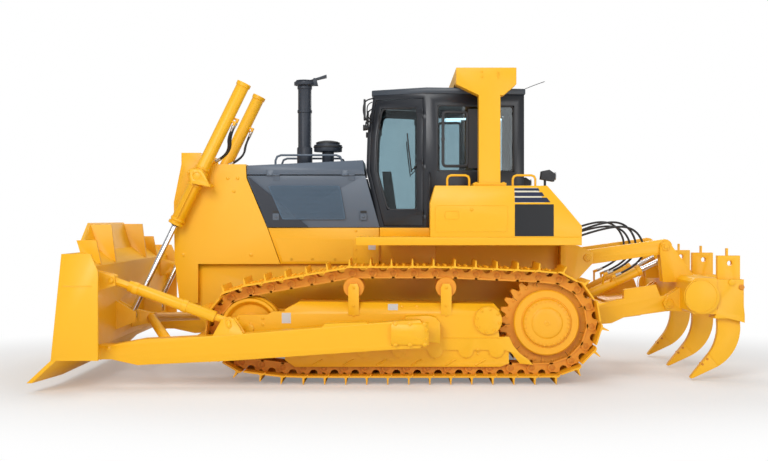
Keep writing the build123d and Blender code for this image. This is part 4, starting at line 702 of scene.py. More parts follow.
def track_wheel(half, ease, x, z, sides):
    """A wheel under the chain's middle, from half its profile: (across from its middle, radius)."""
    whole = [(-across, radius) for across, radius in half[:0:-1]] + half
    return turned([(TRACK_Y + across, radius) for across, radius in eased(whole, ease)], x, z, sides)


idler_x, idler_z = wheel["idler"][:2]
idler_low, idler_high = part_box("idlers")
RAISED = 0.022                 # how far the idler's middle stands above its treads
tread = (idler_high.z - idler_low.z) / 2 - RAISED
half_idler = [(0, tread + RAISED), (0.062, tread + RAISED), (0.078, tread), (0.132, tread),
              (0.132, tread - 0.032), (0.112, tread - 0.045), (0.066, tread - 0.066), (0.060, 0.150),
              (0.066, 0.110), (0.120, 0.088), (0.134, 0.084), (0.134, 0.0)]
idler = track_wheel(half_idler, 0.005, idler_x, idler_z, 80)
piece("idler_wheels", pair(idler), shoe_paint, "tractor", ("idlers",), 25)
ROLLER_TREAD = 0.0935
half_roller = [(0, 0.060), (0.052, 0.060), (0.060, ROLLER_TREAD), (0.078, ROLLER_TREAD),
               (0.132, ROLLER_TREAD), (0.1335, 0.112), (0.148, 0.112), (0.150, 0.0)]
half_carrier = [(0, 0.056), (0.056, 0.056), (0.064, 0.086), (0.133, 0.086), (0.1345, 0.1065), (0.149, 0.1065),
                (0.150, 0.0)]
ROLLER_X = (1.010, 0.685, 0.365, 0.0, -0.370, -0.685, -1.000)
CARRIER_X, CARRIER_Z = (0.471, -0.482), 0.985
roller_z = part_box("rollers")[0].z + ROLLER_TREAD
rollers = [track_wheel(half_roller, 0.004, x, roller_z, 40) for x in ROLLER_X]
rollers += [track_wheel(half_carrier, 0.004, x, CARRIER_Z, 40) for x in CARRIER_X]
piece("roller_wheels", pair(joined(*rollers)), shaded_link_paint, "tractor", ("rollers",), 25)

# ---- Fasteners and small plates -----------------------------------------------------------------
# Hexagon heads, pin caps and blank plates sit on whatever plate a straight line in from outside
# meets first, so they follow the castings they hold together.

trees = {}


def tree_of(node):
    """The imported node's faces as a search tree."""
    mesh = frame["nodes"][node].data
    return BVHTree.FromPolygons([v.co for v in mesh.vertices], [list(p.vertices) for p in mesh.polygons])


def meets(node, place, way):
    """Where a line from a place in a direction first meets the node, or None."""
    if node not in trees:
        trees[node] = tree_of(node)
    return trees[node].ray_cast(Vector(place), Vector(way))[0]


def from_left(node, x, z):
    """Where a straight line in from the machine's left at (x, z) first meets the node, or None."""
    return meets(node, (x, 3, z), (0, -1, 0))


def moved(part, place):
    """The part carried to a place."""
    return part[0] + np.array(place, float), part[1]


def faced(part, axis):
    """A part made along Y turned to stand along another axis: 0 for X, 2 for Z."""
    x, y, z = part[0].T
    return (np.column_stack([y, -x, z] if axis == 0 else [x, -z, y]), part[1])


def heads_on(node, spots, radius=0.013, height=0.011):
    """Bolt heads on the node's left face at each (x, z) spot."""
    found = []
    for x, z in spots:
        hit = from_left(node, x, z)
        if hit and hit.y > 0.05:
            found.append(moved(bolt(0, radius, height), (x, hit.y, z)))
    return found


def lathe(foot, head, profile, sides=32):
    """A surface of revolution about the line from foot to head; the profile gives (along, radius)."""
    foot, head = np.array(foot, float), np.array(head, float)
    way = (head - foot) / np.linalg.norm(head - foot)
    side = np.cross(way, (0, 1, 0) if abs(way[1]) < 0.9 else (1, 0, 0))
    side /= np.linalg.norm(side)
    up = np.cross(side, way)
    section = circle(1, sides)
    spokes = section[:, :1] * side + section[:, 1:] * up
    return skin(np.array([foot + way * at + radius * spokes for at, radius in profile]))


def slab(corners, proud):
    """A flat plate on (x, y, z) corners, sunk 1 mm into the left face under it and standing proud of it."""
    corners = np.array(corners, float)
    normal = np.cross(corners[1] - corners[0], corners[2] - corners[0])
    normal *= np.sign(normal[1]) / np.linalg.norm(normal)
    return skin(np.array([corners - normal * 0.001, corners + normal * proud]))


def softened(corners, reach):
    """An outline with each corner rounded by a parabola that starts so far before it."""
    corners = np.asarray(corners, float)
    points = []
    for before, corner, after in zip(np.roll(corners, 1, 0), corners, np.roll(corners, -1, 0)):
        first = corner + (before - corner) * min(0.45, reach / np.linalg.norm(before - corner))
        last = corner + (after - corner) * min(0.45, reach / np.linalg.norm(after - corner))
        for t in np.linspace(0, 1, 5):
            points.append(first * (1 - t) ** 2 + 2 * corner * t * (1 - t) + last * t ** 2)
    return np.array(points)


def bead(outline, across, radius, sides=8):
    """A closed bead of round section along an (x, z) outline; across gives its place along Y."""
    line = np.asarray(outline, float)
    way = np.roll(line, -1, 0) - np.roll(line, 1, 0)
    way /= np.linalg.norm(way, axis=1)[:, None]
    section = circle(radius, sides)
    rings = []
    for (x, z), (along_x, along_z) in zip(line, way):
        y = across(x) if callable(across) else across
        rings.append(np.column_stack([x + along_z * section[:, 0], y + section[:, 1],
                                      z - along_x * section[:, 0]]))
    return skin(np.array(rings), loop=True)


def pipe(points, radius, sides=8):
    """A bent rod through its points."""
    return skin(along(spline_points(points), circle(radius, sides)))


def pin_cap(x, z, across, radius, turn):
    """A flanged pin cap held by two bolts."""
    profile = [(-0.004, 0), (-0.004, radius), (0.010, radius), (0.014, radius - 0.004),
               (0.014, radius * 0.55), (0.024, radius * 0.5), (0.024, 0)]
    cap = turned([(across + out, size) for out, size in profile], x, z, 28)
    return joined(cap, ring_of(bolt(across + 0.013, 0.010, 0.009, False), x, z, radius * 0.78, 2, turn))


def collar(start, width, radius, inner, ease, cut):
    """The (along, radius) profile of a band round a tube. Its outer edges are bevelled, ease along the
    tube and cut towards it."""
    end = start + width
    return [(start, inner), (start, radius - cut), (start + ease, radius), (end - ease, radius),
            (end, radius - cut), (end, inner)]


def rectangle(x0, x1, z0, z1):
    """The corners of an upright rectangle in (x, z)."""
    return [(x0, z0), (x1, z0), (x1, z1), (x0, z1)]


plate_white = enamel("blank_plate", (0.62, 0.62, 0.60), 0.4)
cover_x, cover_z, cover_y = -0.912, 0.649, 1.208
frame_bolts = [ring_of(bolt(cover_y, 0.012, 0.011), cover_x, cover_z, 0.118, 8, 0.2)]
frame_bolts += heads_on("track_frames", [(-0.026, 0.784), (-0.180, 0.784), (-0.808, 0.348), (-0.808, 0.300),
                                         (1.137, 0.348), (1.137, 0.300), (1.663, 0.671), (1.405, 0.671),
                                         (1.405, 0.609), (1.529, 0.614), (1.663, 0.520), (1.405, 0.520)])
frame_bolts += heads_on("track_frames", [(x, 0.262) for x in ROLLER_X], 0.010)
frame_bolts += heads_on("track_frames", [(x, z) for x in CARRIER_X for z in (0.70, 0.80, CARRIER_Z)], 0.012)
cover_rim = bead(circle(0.139, 48) + (cover_x, cover_z), cover_y, 0.004)
guard_ribs = []
for x in (0.84, 0.52, 0.18, -0.18, -0.53, -0.84):
    y = from_left("track_frames", x, 0.215).y
    rib = [(x + 0.055, y, 0.185), (x, y, 0.215), (x - 0.05, y, 0.243)]
    guard_ribs.append(skin(along(rib, circle(0.009, 8))))
frame_line = skin(along([(x, 1.180, 0.468) for x in (-0.45, -0.75, -1.066)], circle(0.005, 8)))
piece("track_frame_bolts", pair(joined(*frame_bolts)), yellow, "tractor")
piece("track_frame_welds", pair(joined(cover_rim, frame_line, *guard_ribs)), yellow, "tractor", (), 60)
plates = []
for node, x0, x1, z0, z1 in (("track_frames", 0.118, 0.015, 0.752, 0.812),
                             ("track_frames", 1.210, 1.117, 0.619, 0.726),
                             ("side_panels", 0.34, 0.26, 1.355, 1.41)):
    plates.append(slab([(x, from_left(node, x, z).y, z) for x, z in rectangle(x0, x1, z0, z1)], 0.002))
piece("blank_plates", pair(joined(*plates)), plate_white, "tractor")

# ---- Push arms, braces and blade ----------------------------------------------------------------
# Box-section arms with a bolted bearing cap round the trunnion; a screw brace with two nuts on the
# left side; the blade's cutting edge and end bits are bolted on.

arm_bolts = heads_on("push_arms", [(x, z) for z in (0.645, 0.447) for x in (-0.25, -0.105, 0.04)], 0.015)
arm_bolts += heads_on("push_arms", [(-0.270, 0.500), (-0.270, 0.590)], 0.012)
arm_bolts += heads_on("push_arms", [(1.695, 0.632), (2.890, 0.400)], 0.022, 0.016)
piece("push_arm_bolts", pair(joined(*arm_bolts)), yellow, "blade_group")
arm_bracket = plate([(0.770, 0.612), (0.313, 0.612), (0.313, 0.650), (0.345, 0.662), (0.740, 0.648)],
                    1.410, 1.545)
piece("arm_brackets", pair(arm_bracket), yellow, "blade_group")
brace_foot, brace_head = np.array((1.707, 1.460, 0.660)), np.array((2.874, 1.460, 1.080))
brace_length = np.linalg.norm(brace_head - brace_foot)
nuts = []
for start, radius in ((brace_length * 0.36, 0.064), (brace_length * 0.78, 0.063)):
    nuts.append(lathe(brace_foot, brace_head, [(start, 0.050), (start, radius), (start + 0.05, radius),
                                               (start + 0.055, 0.050)]))
piece("brace_nuts", joined(*nuts), yellow, "blade_group")
edge_bolts = []
for y in np.linspace(-1.74, 1.74, 30):
    for z in (0.145, 0.225):
        hits = [meets(node, (5, y, z), (-1, 0, 0)) for node in ("cutting_edges", "blade")]
        front = max(hit.x for hit in hits if hit)
        edge_bolts.append(moved(faced(bolt(0, 0.015, 0.008, False), 0), (front, y, z)))
piece("cutting_edge_bolts", joined(*edge_bolts), yellow, "blade_group")
end_weld = skin(along([(2.985, 1.820, 1.040), (3.12, 1.820, 1.041), (3.255, 1.820, 1.040)], circle(0.006, 8)))
piece("end_plate_welds", pair(end_weld), yellow, "blade_group")

# ---- Cylinders ----------------------------------------------------------------------------------
# Welded steel tubes with raised bands at the gland, the ports and the yoke. A thin hard line runs down
# each lift cylinder's outer side.

lift_eye = Vector((2.905, 0, 0.650))
for side_name, side in SIDES:
    across = Vector((0, side * 0.620, 0))
    top = lift_top + across
    eye = lift_eye + across
    body = f"lift_tube_{side_name}"
    upper = (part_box(body)[1].z - lift_top.z) / lift_down.z + 0.03
    # (down the tube from its yoke, width, radius)
    raised = [(upper, 0.045, 0.079), (0.085, 0.030, 0.080), (-0.115, 0.030, 0.080), (0.500, 0.030, 0.079),
              (0.545, 0.032, 0.083)]
    bands = [lathe(top, eye, collar(start, width, radius, 0.060, 0.004, 0.004), 36)
             for start, width, radius in raised]
    piece(f"lift_collars_{side_name}", joined(*bands), yellow, body, (), 30)
    wiper = lathe(top, eye, [(0.570, 0.030), (0.570, 0.046), (0.586, 0.044), (0.590, 0.036),
                             (0.590, 0.0315)], 28)
    piece(f"lift_wiper_{side_name}", wiper, plastic, body)
    outer_side = top + Vector((0, side * 0.084, 0))
    hard_line = [outer_side + lift_down * down for down in (-0.02, 0.15, 0.32, 0.50)]
    piece(f"lift_hard_line_{side_name}", pipe(hard_line, 0.008), yellow, body)
ripper_base, ripper_eye = np.array((-1.985, 0.230, 0.780)), np.array((-3.005, 0.230, 1.270))
ripper_length = np.linalg.norm(ripper_eye - ripper_base)
raised = [(ripper_length * 0.70 - 0.045, 0.045, 0.064), (0.10, 0.035, 0.062),
          (ripper_length * 0.42, 0.02, 0.060)]
glands = [lathe(ripper_base, ripper_eye, collar(start, width, radius, 0.05, 0.003, 0.003), 36)
          for start, width, radius in raised]
piece("ripper_glands", pair(joined(*glands)), yellow, "ripper_tubes", (), 30)

# ---- Hood, guard and stack ----------------------------------------------------------------------
# Hinged steel doors, each with a fine wire mesh panel and two square latches; a bolted radiator guard;
# bands round the exhaust stack and rims on the precleaner.

WIRE_HALF = 0.0022
MESH_LOW, MESH_TOP = 1.690, 2.050
MESH = [(1.430, MESH_TOP), (0.655, MESH_TOP), (0.592, MESH_LOW), (1.275, MESH_LOW)]
mesh_grey = enamel("mesh_grey", (0.088, 0.152, 0.228), 0.5)
hood_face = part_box("hood_door_left")[1].y


def mesh_edge(level):
    """The front and rear ends of the mesh panel at a share of its height."""
    front = MESH[3][0] + (MESH[0][0] - MESH[3][0]) * level
    rear = MESH[2][0] + (MESH[1][0] - MESH[2][0]) * level
    return front, rear


def wire(first, last, proud):
    """A flat wire of the mesh between two (x, z) ends."""
    first, last = np.array(first), np.array(last)
    way = (last - first) / np.linalg.norm(last - first)
    side = np.array((-way[1], way[0])) * WIRE_HALF
    outline = [first - side, last - side, last + side, first + side]
    return plate(outline, hood_face - 0.001, hood_face + proud)


wires = []
for level in np.linspace(0.0, 1.0, 27):
    front, rear = mesh_edge(level)
    z = MESH_LOW + (MESH_TOP - MESH_LOW) * level
    wires.append(wire((front, z), (rear, z), 0.003))
low_front, low_rear = mesh_edge(0)
top_front, top_rear = mesh_edge(1)
for share in np.linspace(0.0, 1.0, 60):
    wires.append(wire((low_front + (low_rear - low_front) * share, MESH_LOW),
                      (top_front + (top_rear - top_front) * share, MESH_TOP), 0.004))
mesh_rim = bead(softened(MESH, 0.03), hood_face + 0.001, 0.005)
# Painted shade: a darker slate triangle on each hood door stands for the dark side of a diagonal split of
# light across it.
shade_corner = plate([(1.655, 2.160), (1.445, 1.604), (0.990, 1.604)], hood_face - 0.002, hood_face + 0.0012)
painted_shade_slate = enamel("painted_shade_slate", (0.020, 0.026, 0.040), 0.42)
LATCH_HALF, LATCH_Z = 0.034, 1.716
latches, latch_slots = [], []
for x in (1.349, 0.392):
    square = rectangle(x - LATCH_HALF, x + LATCH_HALF, LATCH_Z - 0.036, LATCH_Z + 0.036)
    latches.append(plate(softened(square, 0.012), hood_face - 0.002, hood_face + 0.006))
    latches.append(turned([(hood_face + 0.004, 0), (hood_face + 0.004, 0.015), (hood_face + 0.014, 0.014),
                           (hood_face + 0.017, 0.010), (hood_face + 0.017, 0)], x, LATCH_Z, 20))
    slot = rectangle(x - LATCH_HALF, x + LATCH_HALF, LATCH_Z + 0.042, LATCH_Z + 0.066)
    latch_slots.append(plate(softened(slot, 0.007), hood_face - 0.002, hood_face + 0.003))
for side_name, side in SIDES:
    body = f"hood_door_{side_name}"
    piece(f"hood_slate_corner_{side_name}", on_side(shade_corner, side), painted_shade_slate, body)
    piece(f"hood_mesh_{side_name}", on_side(joined(mesh_rim, *wires), side), mesh_grey, body)
    piece(f"hood_latches_{side_name}", on_side(joined(*latches), side), grey, body)
    piece(f"hood_latch_slots_{side_name}", on_side(joined(*latch_slots), side), plastic, body)
hull_bolts = []
for node in ("main_frame", "platform", "fuel_tank"):
    hull_bolts += heads_on(node, [(x, z) for x in (-0.12, -0.42, -0.72, -1.02, -1.32) for z in (1.40, 1.16)],
                           0.011)
piece("hull_bolts", pair(joined(*hull_bolts)), yellow, "tractor")
guard_bolts = heads_on("radiator_guard", [(1.873, 2.137), (1.764, 2.137), (1.808, 1.995), (1.62, 1.30),
                                          (2.30, 2.20), (2.36, 1.30)], 0.014)
guard_bolts += heads_on("side_panels", [(0.475, z) for z in (1.56, 1.46, 1.36, 1.26)], 0.009)
guard_bolts += heads_on("side_panels", [(x, 1.25) for x in (1.18, 0.95, 0.70)], 0.009)
piece("guard_bolts", pair(joined(*guard_bolts)), yellow, "tractor")
relief = [(x, from_left("side_panels", x, z).y, z)
          for x, z in ((1.360, 1.490), (0.505, 1.470), (0.505, 1.225), (1.275, 1.225))]
piece("panel_reliefs", pair(slab(relief, 0.003)), yellow, "tractor")


def upright(x, profile, sides=32):
    """A surface of revolution about an upright line on the machine's middle plane: (height, radius)."""
    return lathe((x, 0, 0), (x, 0, 1), profile, sides)


stack_x, cleaner_x = 1.080, 0.814
stack_bands = [upright(stack_x, collar(z, 0.034, 0.084, 0.06, 0.004, 0.003)) for z in (2.475, 2.900, 3.170)]
piece("stack_bands", joined(*stack_bands), stack_black, "tractor")
cleaner_rim = upright(cleaner_x, collar(2.500, 0.020, 0.166, 0.13, 0.004, 0.003), 40)
cleaner_lid = upright(cleaner_x, [(2.552, 0.14), (2.562, 0.138), (2.574, 0.110), (2.583, 0.060),
                                  (2.586, 0.0)], 40)
piece("precleaner_trim", joined(cleaner_rim, cleaner_lid), plastic, "tractor", (), 50)

# ---- Cab ----------------------------------------------------------------------------------------
# A framed steel cab. Rubber gaskets hold the panes of its doors and of its rear sides, along their own
# edges. A wiper and a handle stand on each door; grab bars, mirrors and an antenna are fixed outside.

gasket = enamel("gasket_rubber", (0.045, 0.047, 0.052), 0.6)


def hull(points):
    """The corners of the smallest convex outline round (x, z) points, in order."""
    spots = sorted({(round(float(x), 4), round(float(z), 4)) for x, z in points})
    corners = []
    for run in (spots, spots[::-1]):
        chain = []
        for spot in run:
            while len(chain) > 1 and ((chain[-1][0] - chain[-2][0]) * (spot[1] - chain[-2][1])
                                      - (chain[-1][1] - chain[-2][1]) * (spot[0] - chain[-2][0])) <= 1e-7:
                chain.pop()
            chain.append(spot)
        corners += chain[:-1]
    return corners


def slant(points):
    """The straight line that a pane follows across the machine, giving y from x."""
    run, start = np.polyfit(points[:, 0], points[:, 1], 1)
    return lambda x: run * x + start


def pane_trim(points, radius, outwards):
    """A gasket bead round a pane's edge, following the pane's own slant across the machine."""
    pane = slant(points)
    return bead(softened(np.array(hull(points[:, [0, 2]])), 0.05), lambda x: pane(x) + outwards, radius)


for side_name, side in SIDES:
    glass_points = np.array([v.co for v in frame["nodes"][f"door_glass_{side_name}"].data.vertices])
    body = f"cab_door_{side_name}"
    piece(f"door_gasket_{side_name}", pane_trim(glass_points, 0.011, side * 0.004), gasket, body, (), 60)
    pane = slant(glass_points)
    # (x, how far outside the glass, z)
    arm = [(-0.235, 0.016, 2.310), (-0.190, 0.022, 2.270), (-0.130, 0.016, 2.215)]
    rubber_strip = [(-0.085, 0.012, 2.620), (-0.105, 0.012, 2.420), (-0.132, 0.012, 2.200)]
    grip = [(0.215, 0.010, 2.690), (0.215, 0.045, 2.705), (0.230, 0.045, 2.850), (0.230, 0.010, 2.865)]
    arm, rubber_strip, grip = [[(x, pane(x) + side * off, z) for x, off, z in line]
                               for line in (arm, rubber_strip, grip)]
    wiper_parts = joined(skin(along(arm, circle(0.006, 8))), skin(along(rubber_strip, circle(0.007, 8))))
    piece(f"door_wiper_{side_name}", wiper_parts, plastic, body)
    piece(f"door_handle_{side_name}", pipe(grip, 0.009), plastic, body)
cab_points = np.array([v.co for v in frame["nodes"]["cab_glass"].data.vertices])
on_left, behind_door = cab_points[:, 1] > 0.5, (cab_points[:, 0] < -0.33) & (cab_points[:, 0] > -1.30)
rear_left = cab_points[on_left & behind_door]
piece("rear_gaskets", pair(pane_trim(rear_left, 0.014, 0.004)), gasket, "tractor", (), 60)
pane = slant(rear_left)
slider = bead(softened(rectangle(-0.470, -0.735, 2.262, 2.845), 0.04), lambda x: pane(x) + 0.006, 0.016)
post, post_faces = plate(rectangle(-0.740, -0.850, 2.24, 2.88), 0, 1)
post[:, 1] = pane(post[:, 0]) + 0.014 * post[:, 1]
catch = skin(along([(-0.470, pane(-0.470) + out, 2.55) for out in (0.004, 0.020, 0.034)],
                   circle(0.022, 10)))
piece("rear_sliders", pair(joined(slider, (post, post_faces), catch)), gasket, "tractor", (), 60)
grab = pipe([(-0.320, 0.715, 1.730), (-0.320, 0.775, 1.740), (-0.320, 0.780, 1.960),
             (-0.320, 0.775, 2.180), (-0.320, 0.715, 2.190)], 0.011)
piece("cab_grab_bars", pair(grab), cab_black, "tractor")
mirror_loop = pipe([(0.289, 0.470, 3.013), (0.365, 0.560, 2.990), (0.392, 0.570, 2.920),
                    (0.390, 0.570, 2.830), (0.354, 0.560, 2.755), (0.300, 0.470, 2.745)], 0.008)
mirror_inner = pipe([(0.300, 0.450, 2.975), (0.345, 0.520, 2.950), (0.355, 0.530, 2.870),
                     (0.345, 0.520, 2.795), (0.305, 0.450, 2.780)], 0.006)
mirror_case = plate(softened(rectangle(0.545, 0.690, 2.760, 2.985), 0.03), 0.366, 0.386)
mirror_case = (mirror_case[0][:, [1, 0, 2]], mirror_case[1])
small_lamp = lathe((0.345, 0.500, 2.690), (0.400, 0.500, 2.690),
                   [(0, 0), (0.0, 0.026), (0.045, 0.034), (0.052, 0.030), (0.050, 0.0)], 24)
lamp_stem = pipe([(0.365, 0.480, 2.755), (0.368, 0.490, 2.730), (0.368, 0.500, 2.710)], 0.007)
mirror = joined(mirror_loop, mirror_inner, mirror_case, small_lamp, lamp_stem)
piece("mirrors", pair(mirror), plastic, "tractor")
antenna_foot = lathe((-1.33, 0.42, 3.07), (-1.33, 0.42, 3.20),
                     [(0, 0), (0, 0.022), (0.02, 0.020), (0.04, 0.010), (0.045, 0)], 20)
antenna_rod = pipe([(-1.33, 0.42, 3.10), (-1.45, 0.42, 3.155), (-1.60, 0.42, 3.205)], 0.004, 6)
piece("antenna", joined(antenna_foot, antenna_rod), plastic, "tractor")

# ---- Seat ---------------------------------------------------------------------------------------
# A suspension seat: a padded cushion, back and headrest in woven cloth on a dark moulded base. Each
# pad is a crowned closed form with a piped seam round its fullest line.

cloth = Finish("seat_cloth", sheen_weight=0.25)
weave = cloth.node("ShaderNodeTexWave", {}, {"Vector": cloth.at, "Scale": 170, "Distortion": 0.6}, 1)
cross = cloth.node("ShaderNodeTexWave", {"bands_direction": "Z"}, {"Vector": cloth.at, "Scale": 170,
                                                                    "Distortion": 0.6}, 1)
worn = cloth.noise(5, 4)
faded = 0.35 * worn + 0.3 * weave * cross
cloth.put("Base Color", cloth.mix(faded, (0.020, 0.021, 0.024), (0.060, 0.062, 0.070)))
cloth.put("Roughness", 0.78 + 0.12 * worn)
cloth.bump(weave + cross, 0.0009, 0.5)
seat_cloth = cloth.material


BOXY = 0.38                    # 1 would make an ellipsoid, and 0 a box
PULL = 0.035                   # how far the rim pulls in between its corners


def power(value, share):
    """The value raised to a power, with its sign kept."""
    return np.sign(value) * np.abs(value) ** share


def tilt(points, lean):
    """Points leant back by an angle about the axis across the machine."""
    x, y, z = points.T
    return np.column_stack([x * cos(lean) - z * sin(lean), y, x * sin(lean) + z * cos(lean)])


def pad(centre, halves, lean):
    """A pad: a superellipsoid, each direction's sine and cosine raised to a small power, whose rim pulls
    in between its corners. It leans back about the axis across the machine."""
    swings = 2 * pi * np.arange(56) / 56
    x, y = power(np.cos(swings), BOXY), power(np.sin(swings), BOXY)
    crowned = 0.86 + 0.14 * (1 - np.clip(x ** 2, 0, 1)) * (1 - np.clip(y ** 2, 0, 1))
    rings = []
    for lift in np.linspace(-pi / 2, pi / 2, 36):
        level, reach = power(sin(lift), BOXY), power(cos(lift) + 1e-9, 0.30)
        pull = 1 - PULL * np.cos(2 * swings) ** 2 * abs(cos(lift))
        rings.append(np.column_stack([halves[0] * reach * x * pull, halves[1] * reach * y * pull,
                                      halves[2] * level * crowned]))
    points, faces = skin(np.array(rings))
    return tilt(points, lean) + centre, faces


def piping(centre, halves, lean):
    """The piped seam round a pad's fullest line."""
    swings = np.linspace(0, 2 * pi, 81)[:-1]
    pull = 1 - PULL * np.cos(2 * swings) ** 2
    x = power(np.cos(swings), BOXY) * halves[0] * pull
    y = power(np.sin(swings), BOXY) * halves[1] * pull
    points, faces = bead(np.column_stack([x, y]), 0.0, 0.0045, 6)
    return tilt(points[:, [0, 2, 1]], lean) + centre, faces


# (name, centre, half sizes, lean)
PADS = [("seat_cushion", (-0.672, 0, 1.968), (0.248, 0.250, 0.058), 0.0),
        ("seat_back", (-0.893, 0, 2.330), (0.310, 0.235, 0.052), radians(99)),
        ("seat_headrest", (-0.895, 0, 2.768), (0.100, 0.130, 0.034), radians(97))]
for name, centre, halves, lean in PADS:
    made = piece(name, pad(np.array(centre), halves, lean), seat_cloth, "tractor",
                 ("seat",) if name == "seat_cushion" else (), 80)
    piece(name + "_piping", piping(np.array(centre), halves, lean), gasket, "tractor", (), 80)
base = [plate(softened(rectangle(-0.900, -0.450, 1.898, 1.925), 0.01), -0.235, 0.235),
        plate(softened([(-0.930, 1.930), (-0.905, 2.66), (-0.925, 2.66), (-0.948, 1.930)], 0.01),
              -0.20, 0.20)]
base += [pipe([(-0.915, y, 2.58), (-0.900, y, 2.68), (-0.895, y, 2.74)], 0.006) for y in (0.06, -0.06)]
piece("seat_shell", joined(*base), plastic, "tractor")

# ---- Side boxes, stripes and lamps --------------------------------------------------------------
# Boxes on the fenders. Their leaning upper faces carry three dark stripes on a cream ground, above a
# blank black panel. The roll-over posts stand on them on bolted flanges, and a lamp at the rear looks
# backwards.

stripe_blue = enamel("stripe_blue", (0.012, 0.020, 0.060), 0.35)
stripe_cream = enamel("stripe_cream", (0.74, 0.70, 0.55), 0.4)
panel_black = enamel("panel_black", (0.012, 0.013, 0.016), 0.3)
BOX_FACE, BOX_LEAN = 1.150, 0.055      # the boxes' outer face across, and how far its top leans in
CREASE, BOX_TOP = 1.859, 2.038
MARK_FRONT = -1.192                    # the front edge of the stripes and of the black panel


def on_box(x, z):
    """The side boxes' left face: upright to the crease, leaning in above it."""
    return x, BOX_FACE - BOX_LEAN * max(0.0, (z - CREASE) / (BOX_TOP - CREASE)), z


def stripe(rear_low, rear_top, low, top, proud):
    """A stripe from the marks' front edge to its own slanted rear edge."""
    return slab([on_box(MARK_FRONT, low), on_box(rear_low, low), on_box(rear_top, top),
                 on_box(MARK_FRONT, top)], proud)


stripes = [stripe(-1.452, -1.440, 1.985, 2.010, 0.0022), stripe(-1.500, -1.478, 1.928, 1.968, 0.0022),
           stripe(-1.560, -1.524, 1.864, 1.912, 0.0022)]
cream = stripe(-1.500, -1.430, 1.862, 2.014, 0.0012)
panel = slab([on_box(x, z) for x, z in rectangle(MARK_FRONT, -1.594, 1.514, 1.844)], 0.002)
piece("box_stripes", pair(joined(*stripes)), stripe_blue, "tractor")
piece("box_stripe_gaps", pair(cream), stripe_cream, "tractor")
piece("box_panels", pair(panel), panel_black, "tractor")
lids = [bead(softened(rectangle(-0.470, -0.614, 1.690, 1.772), 0.02), 1.151, 0.003),
        bead(softened(rectangle(-0.37, -1.12, 1.56, 1.83), 0.03), 1.150, 0.003)]
lids.append(turned([(1.149, 0), (1.149, 0.016), (1.160, 0.015), (1.163, 0.010), (1.163, 0)],
                   -0.745, 1.79, 20))
piece("box_lids", pair(joined(*lids)), yellow, "tractor", (), 60)
FLANGE_TOP = 2.062
flanges = [moved(plate(softened(rectangle(-1.110, -0.775, -0.012, 0.0), 0.004), -0.125, 0.125),
                 (0, 0.950, FLANGE_TOP))]
for x in (-1.085, -0.80):
    for y in (0.845, 1.055):
        flanges.append(moved(faced(bolt(0, 0.016, 0.014), 2), (x, y, FLANGE_TOP)))
rops_bolts = heads_on("rops", [(-1.030, 3.225), (-1.030, 3.200), (-1.030, 3.175), (-0.86, 3.225),
                               (-0.86, 3.175)], 0.010)
piece("rops_flanges", pair(joined(*flanges, *rops_bolts)), yellow, "tractor")
lens = Finish("lamp_lens", roughness=0.08, coat_weight=0.6)
ridges = lens.node("ShaderNodeTexWave", {"bands_direction": "Y"}, {"Vector": lens.at, "Scale": 40}, 1)
lens.put("Base Color", lens.mix(ridges, (0.45, 0.46, 0.48), (0.70, 0.71, 0.72)))
lens.bump(ridges, 0.001, 0.5)
disc, disc_faces = faced(round_part(0.048, 0.0, 0.010, 28, 0.1), 0)
rear_lens = moved((disc * (-1, 1, 1), disc_faces), (-1.624, 1.02, 2.143))
piece("rear_lamp_lenses", pair(rear_lens), lens.material, "tractor")

# ---- Grip pads ----------------------------------------------------------------------------------
# Rows of small raised studs where the driver steps: on the fenders ahead of the boxes.

STUD_PITCH = 0.045
DECK_TOP = 1.60                # only the flat deck below this height has studs
stud = faced(round_part(0.011, -0.002, 0.005, 8, 0.3), 2)
studs = []
for x in np.arange(-0.26, 0.43, STUD_PITCH):
    for y in np.arange(0.80, 1.13, STUD_PITCH):
        hit = meets("fenders", (x, y, 2.5), (0, 0, -1))
        if hit and hit.z < DECK_TOP:
            studs.append(moved(stud, (x, y, hit.z)))
piece("fender_grips", pair(joined(*studs)), yellow, "tractor")

# ---- Ripper -------------------------------------------------------------------------------------
# A parallelogram of arms and links carries the beam; every joint has a flanged pin cap with two
# bolts, a pin holds each shank in its pocket, and two more hold its point.

arm_caps, link_caps = [], []
for x, z, caps, radius in ((-2.061, 0.657, arm_caps, 0.052), (-2.916, 0.776, arm_caps, 0.055),
                           (-2.065, 1.269, link_caps, 0.045), (-2.920, 1.388, link_caps, 0.045)):
    hits = [meets(node, (x, 0.75, z), (0, -1, 0))
            for node in ("ripper_arm", "ripper_links", "ripper_beam", "ripper_bracket")]
    caps.append(pin_cap(x, z, max(hit.y for hit in hits if hit), radius, 0.9))
piece("ripper_arm_caps", pair(joined(*arm_caps)), yellow, "ripper_arm")
piece("ripper_link_caps", pair(joined(*link_caps)), yellow, "ripper_links")
boss_line = bead(circle(0.170, 64) + (-3.131, 0.890), 1.0805, 0.004)
piece("ripper_boss_welds", pair(boss_line), yellow, "ripper_beam", (), 60)
SHANK_Y = (0.950, 0.0, -0.950)
SHANK_PIN_X, SHANK_PIN_Z = -3.571, 0.98
point_pins, shank_pins = [], []
for y in SHANK_Y:
    for x, z in ((-3.225, 0.225), (-3.175, 0.170)):
        for way in (1, -1):
            hit = meets("ripper_points", (x, y + way * 0.3, z), (0, -way, 0))
            low, high = sorted((-0.003 * way, 0.004 * way))
            point_pins.append(moved(round_part(0.013, low, high, 16, 0.1), (x, hit.y, z)))
piece("ripper_point_pins", joined(*point_pins), shaded_pin_paint, "ripper_beam")
for y in SHANK_Y:
    for way, low, high in ((1, -0.004, 0.018), (-1, -0.018, 0.004)):
        hit = meets("ripper_beam", (SHANK_PIN_X, y + way * 0.4, SHANK_PIN_Z), (0, -way, 0))
        shank_pins.append(moved(round_part(0.028, low, high, 20, 0.2), (SHANK_PIN_X, hit.y, SHANK_PIN_Z)))
piece("ripper_shank_pins", joined(*shank_pins), shaded_pin_paint, "ripper_beam")

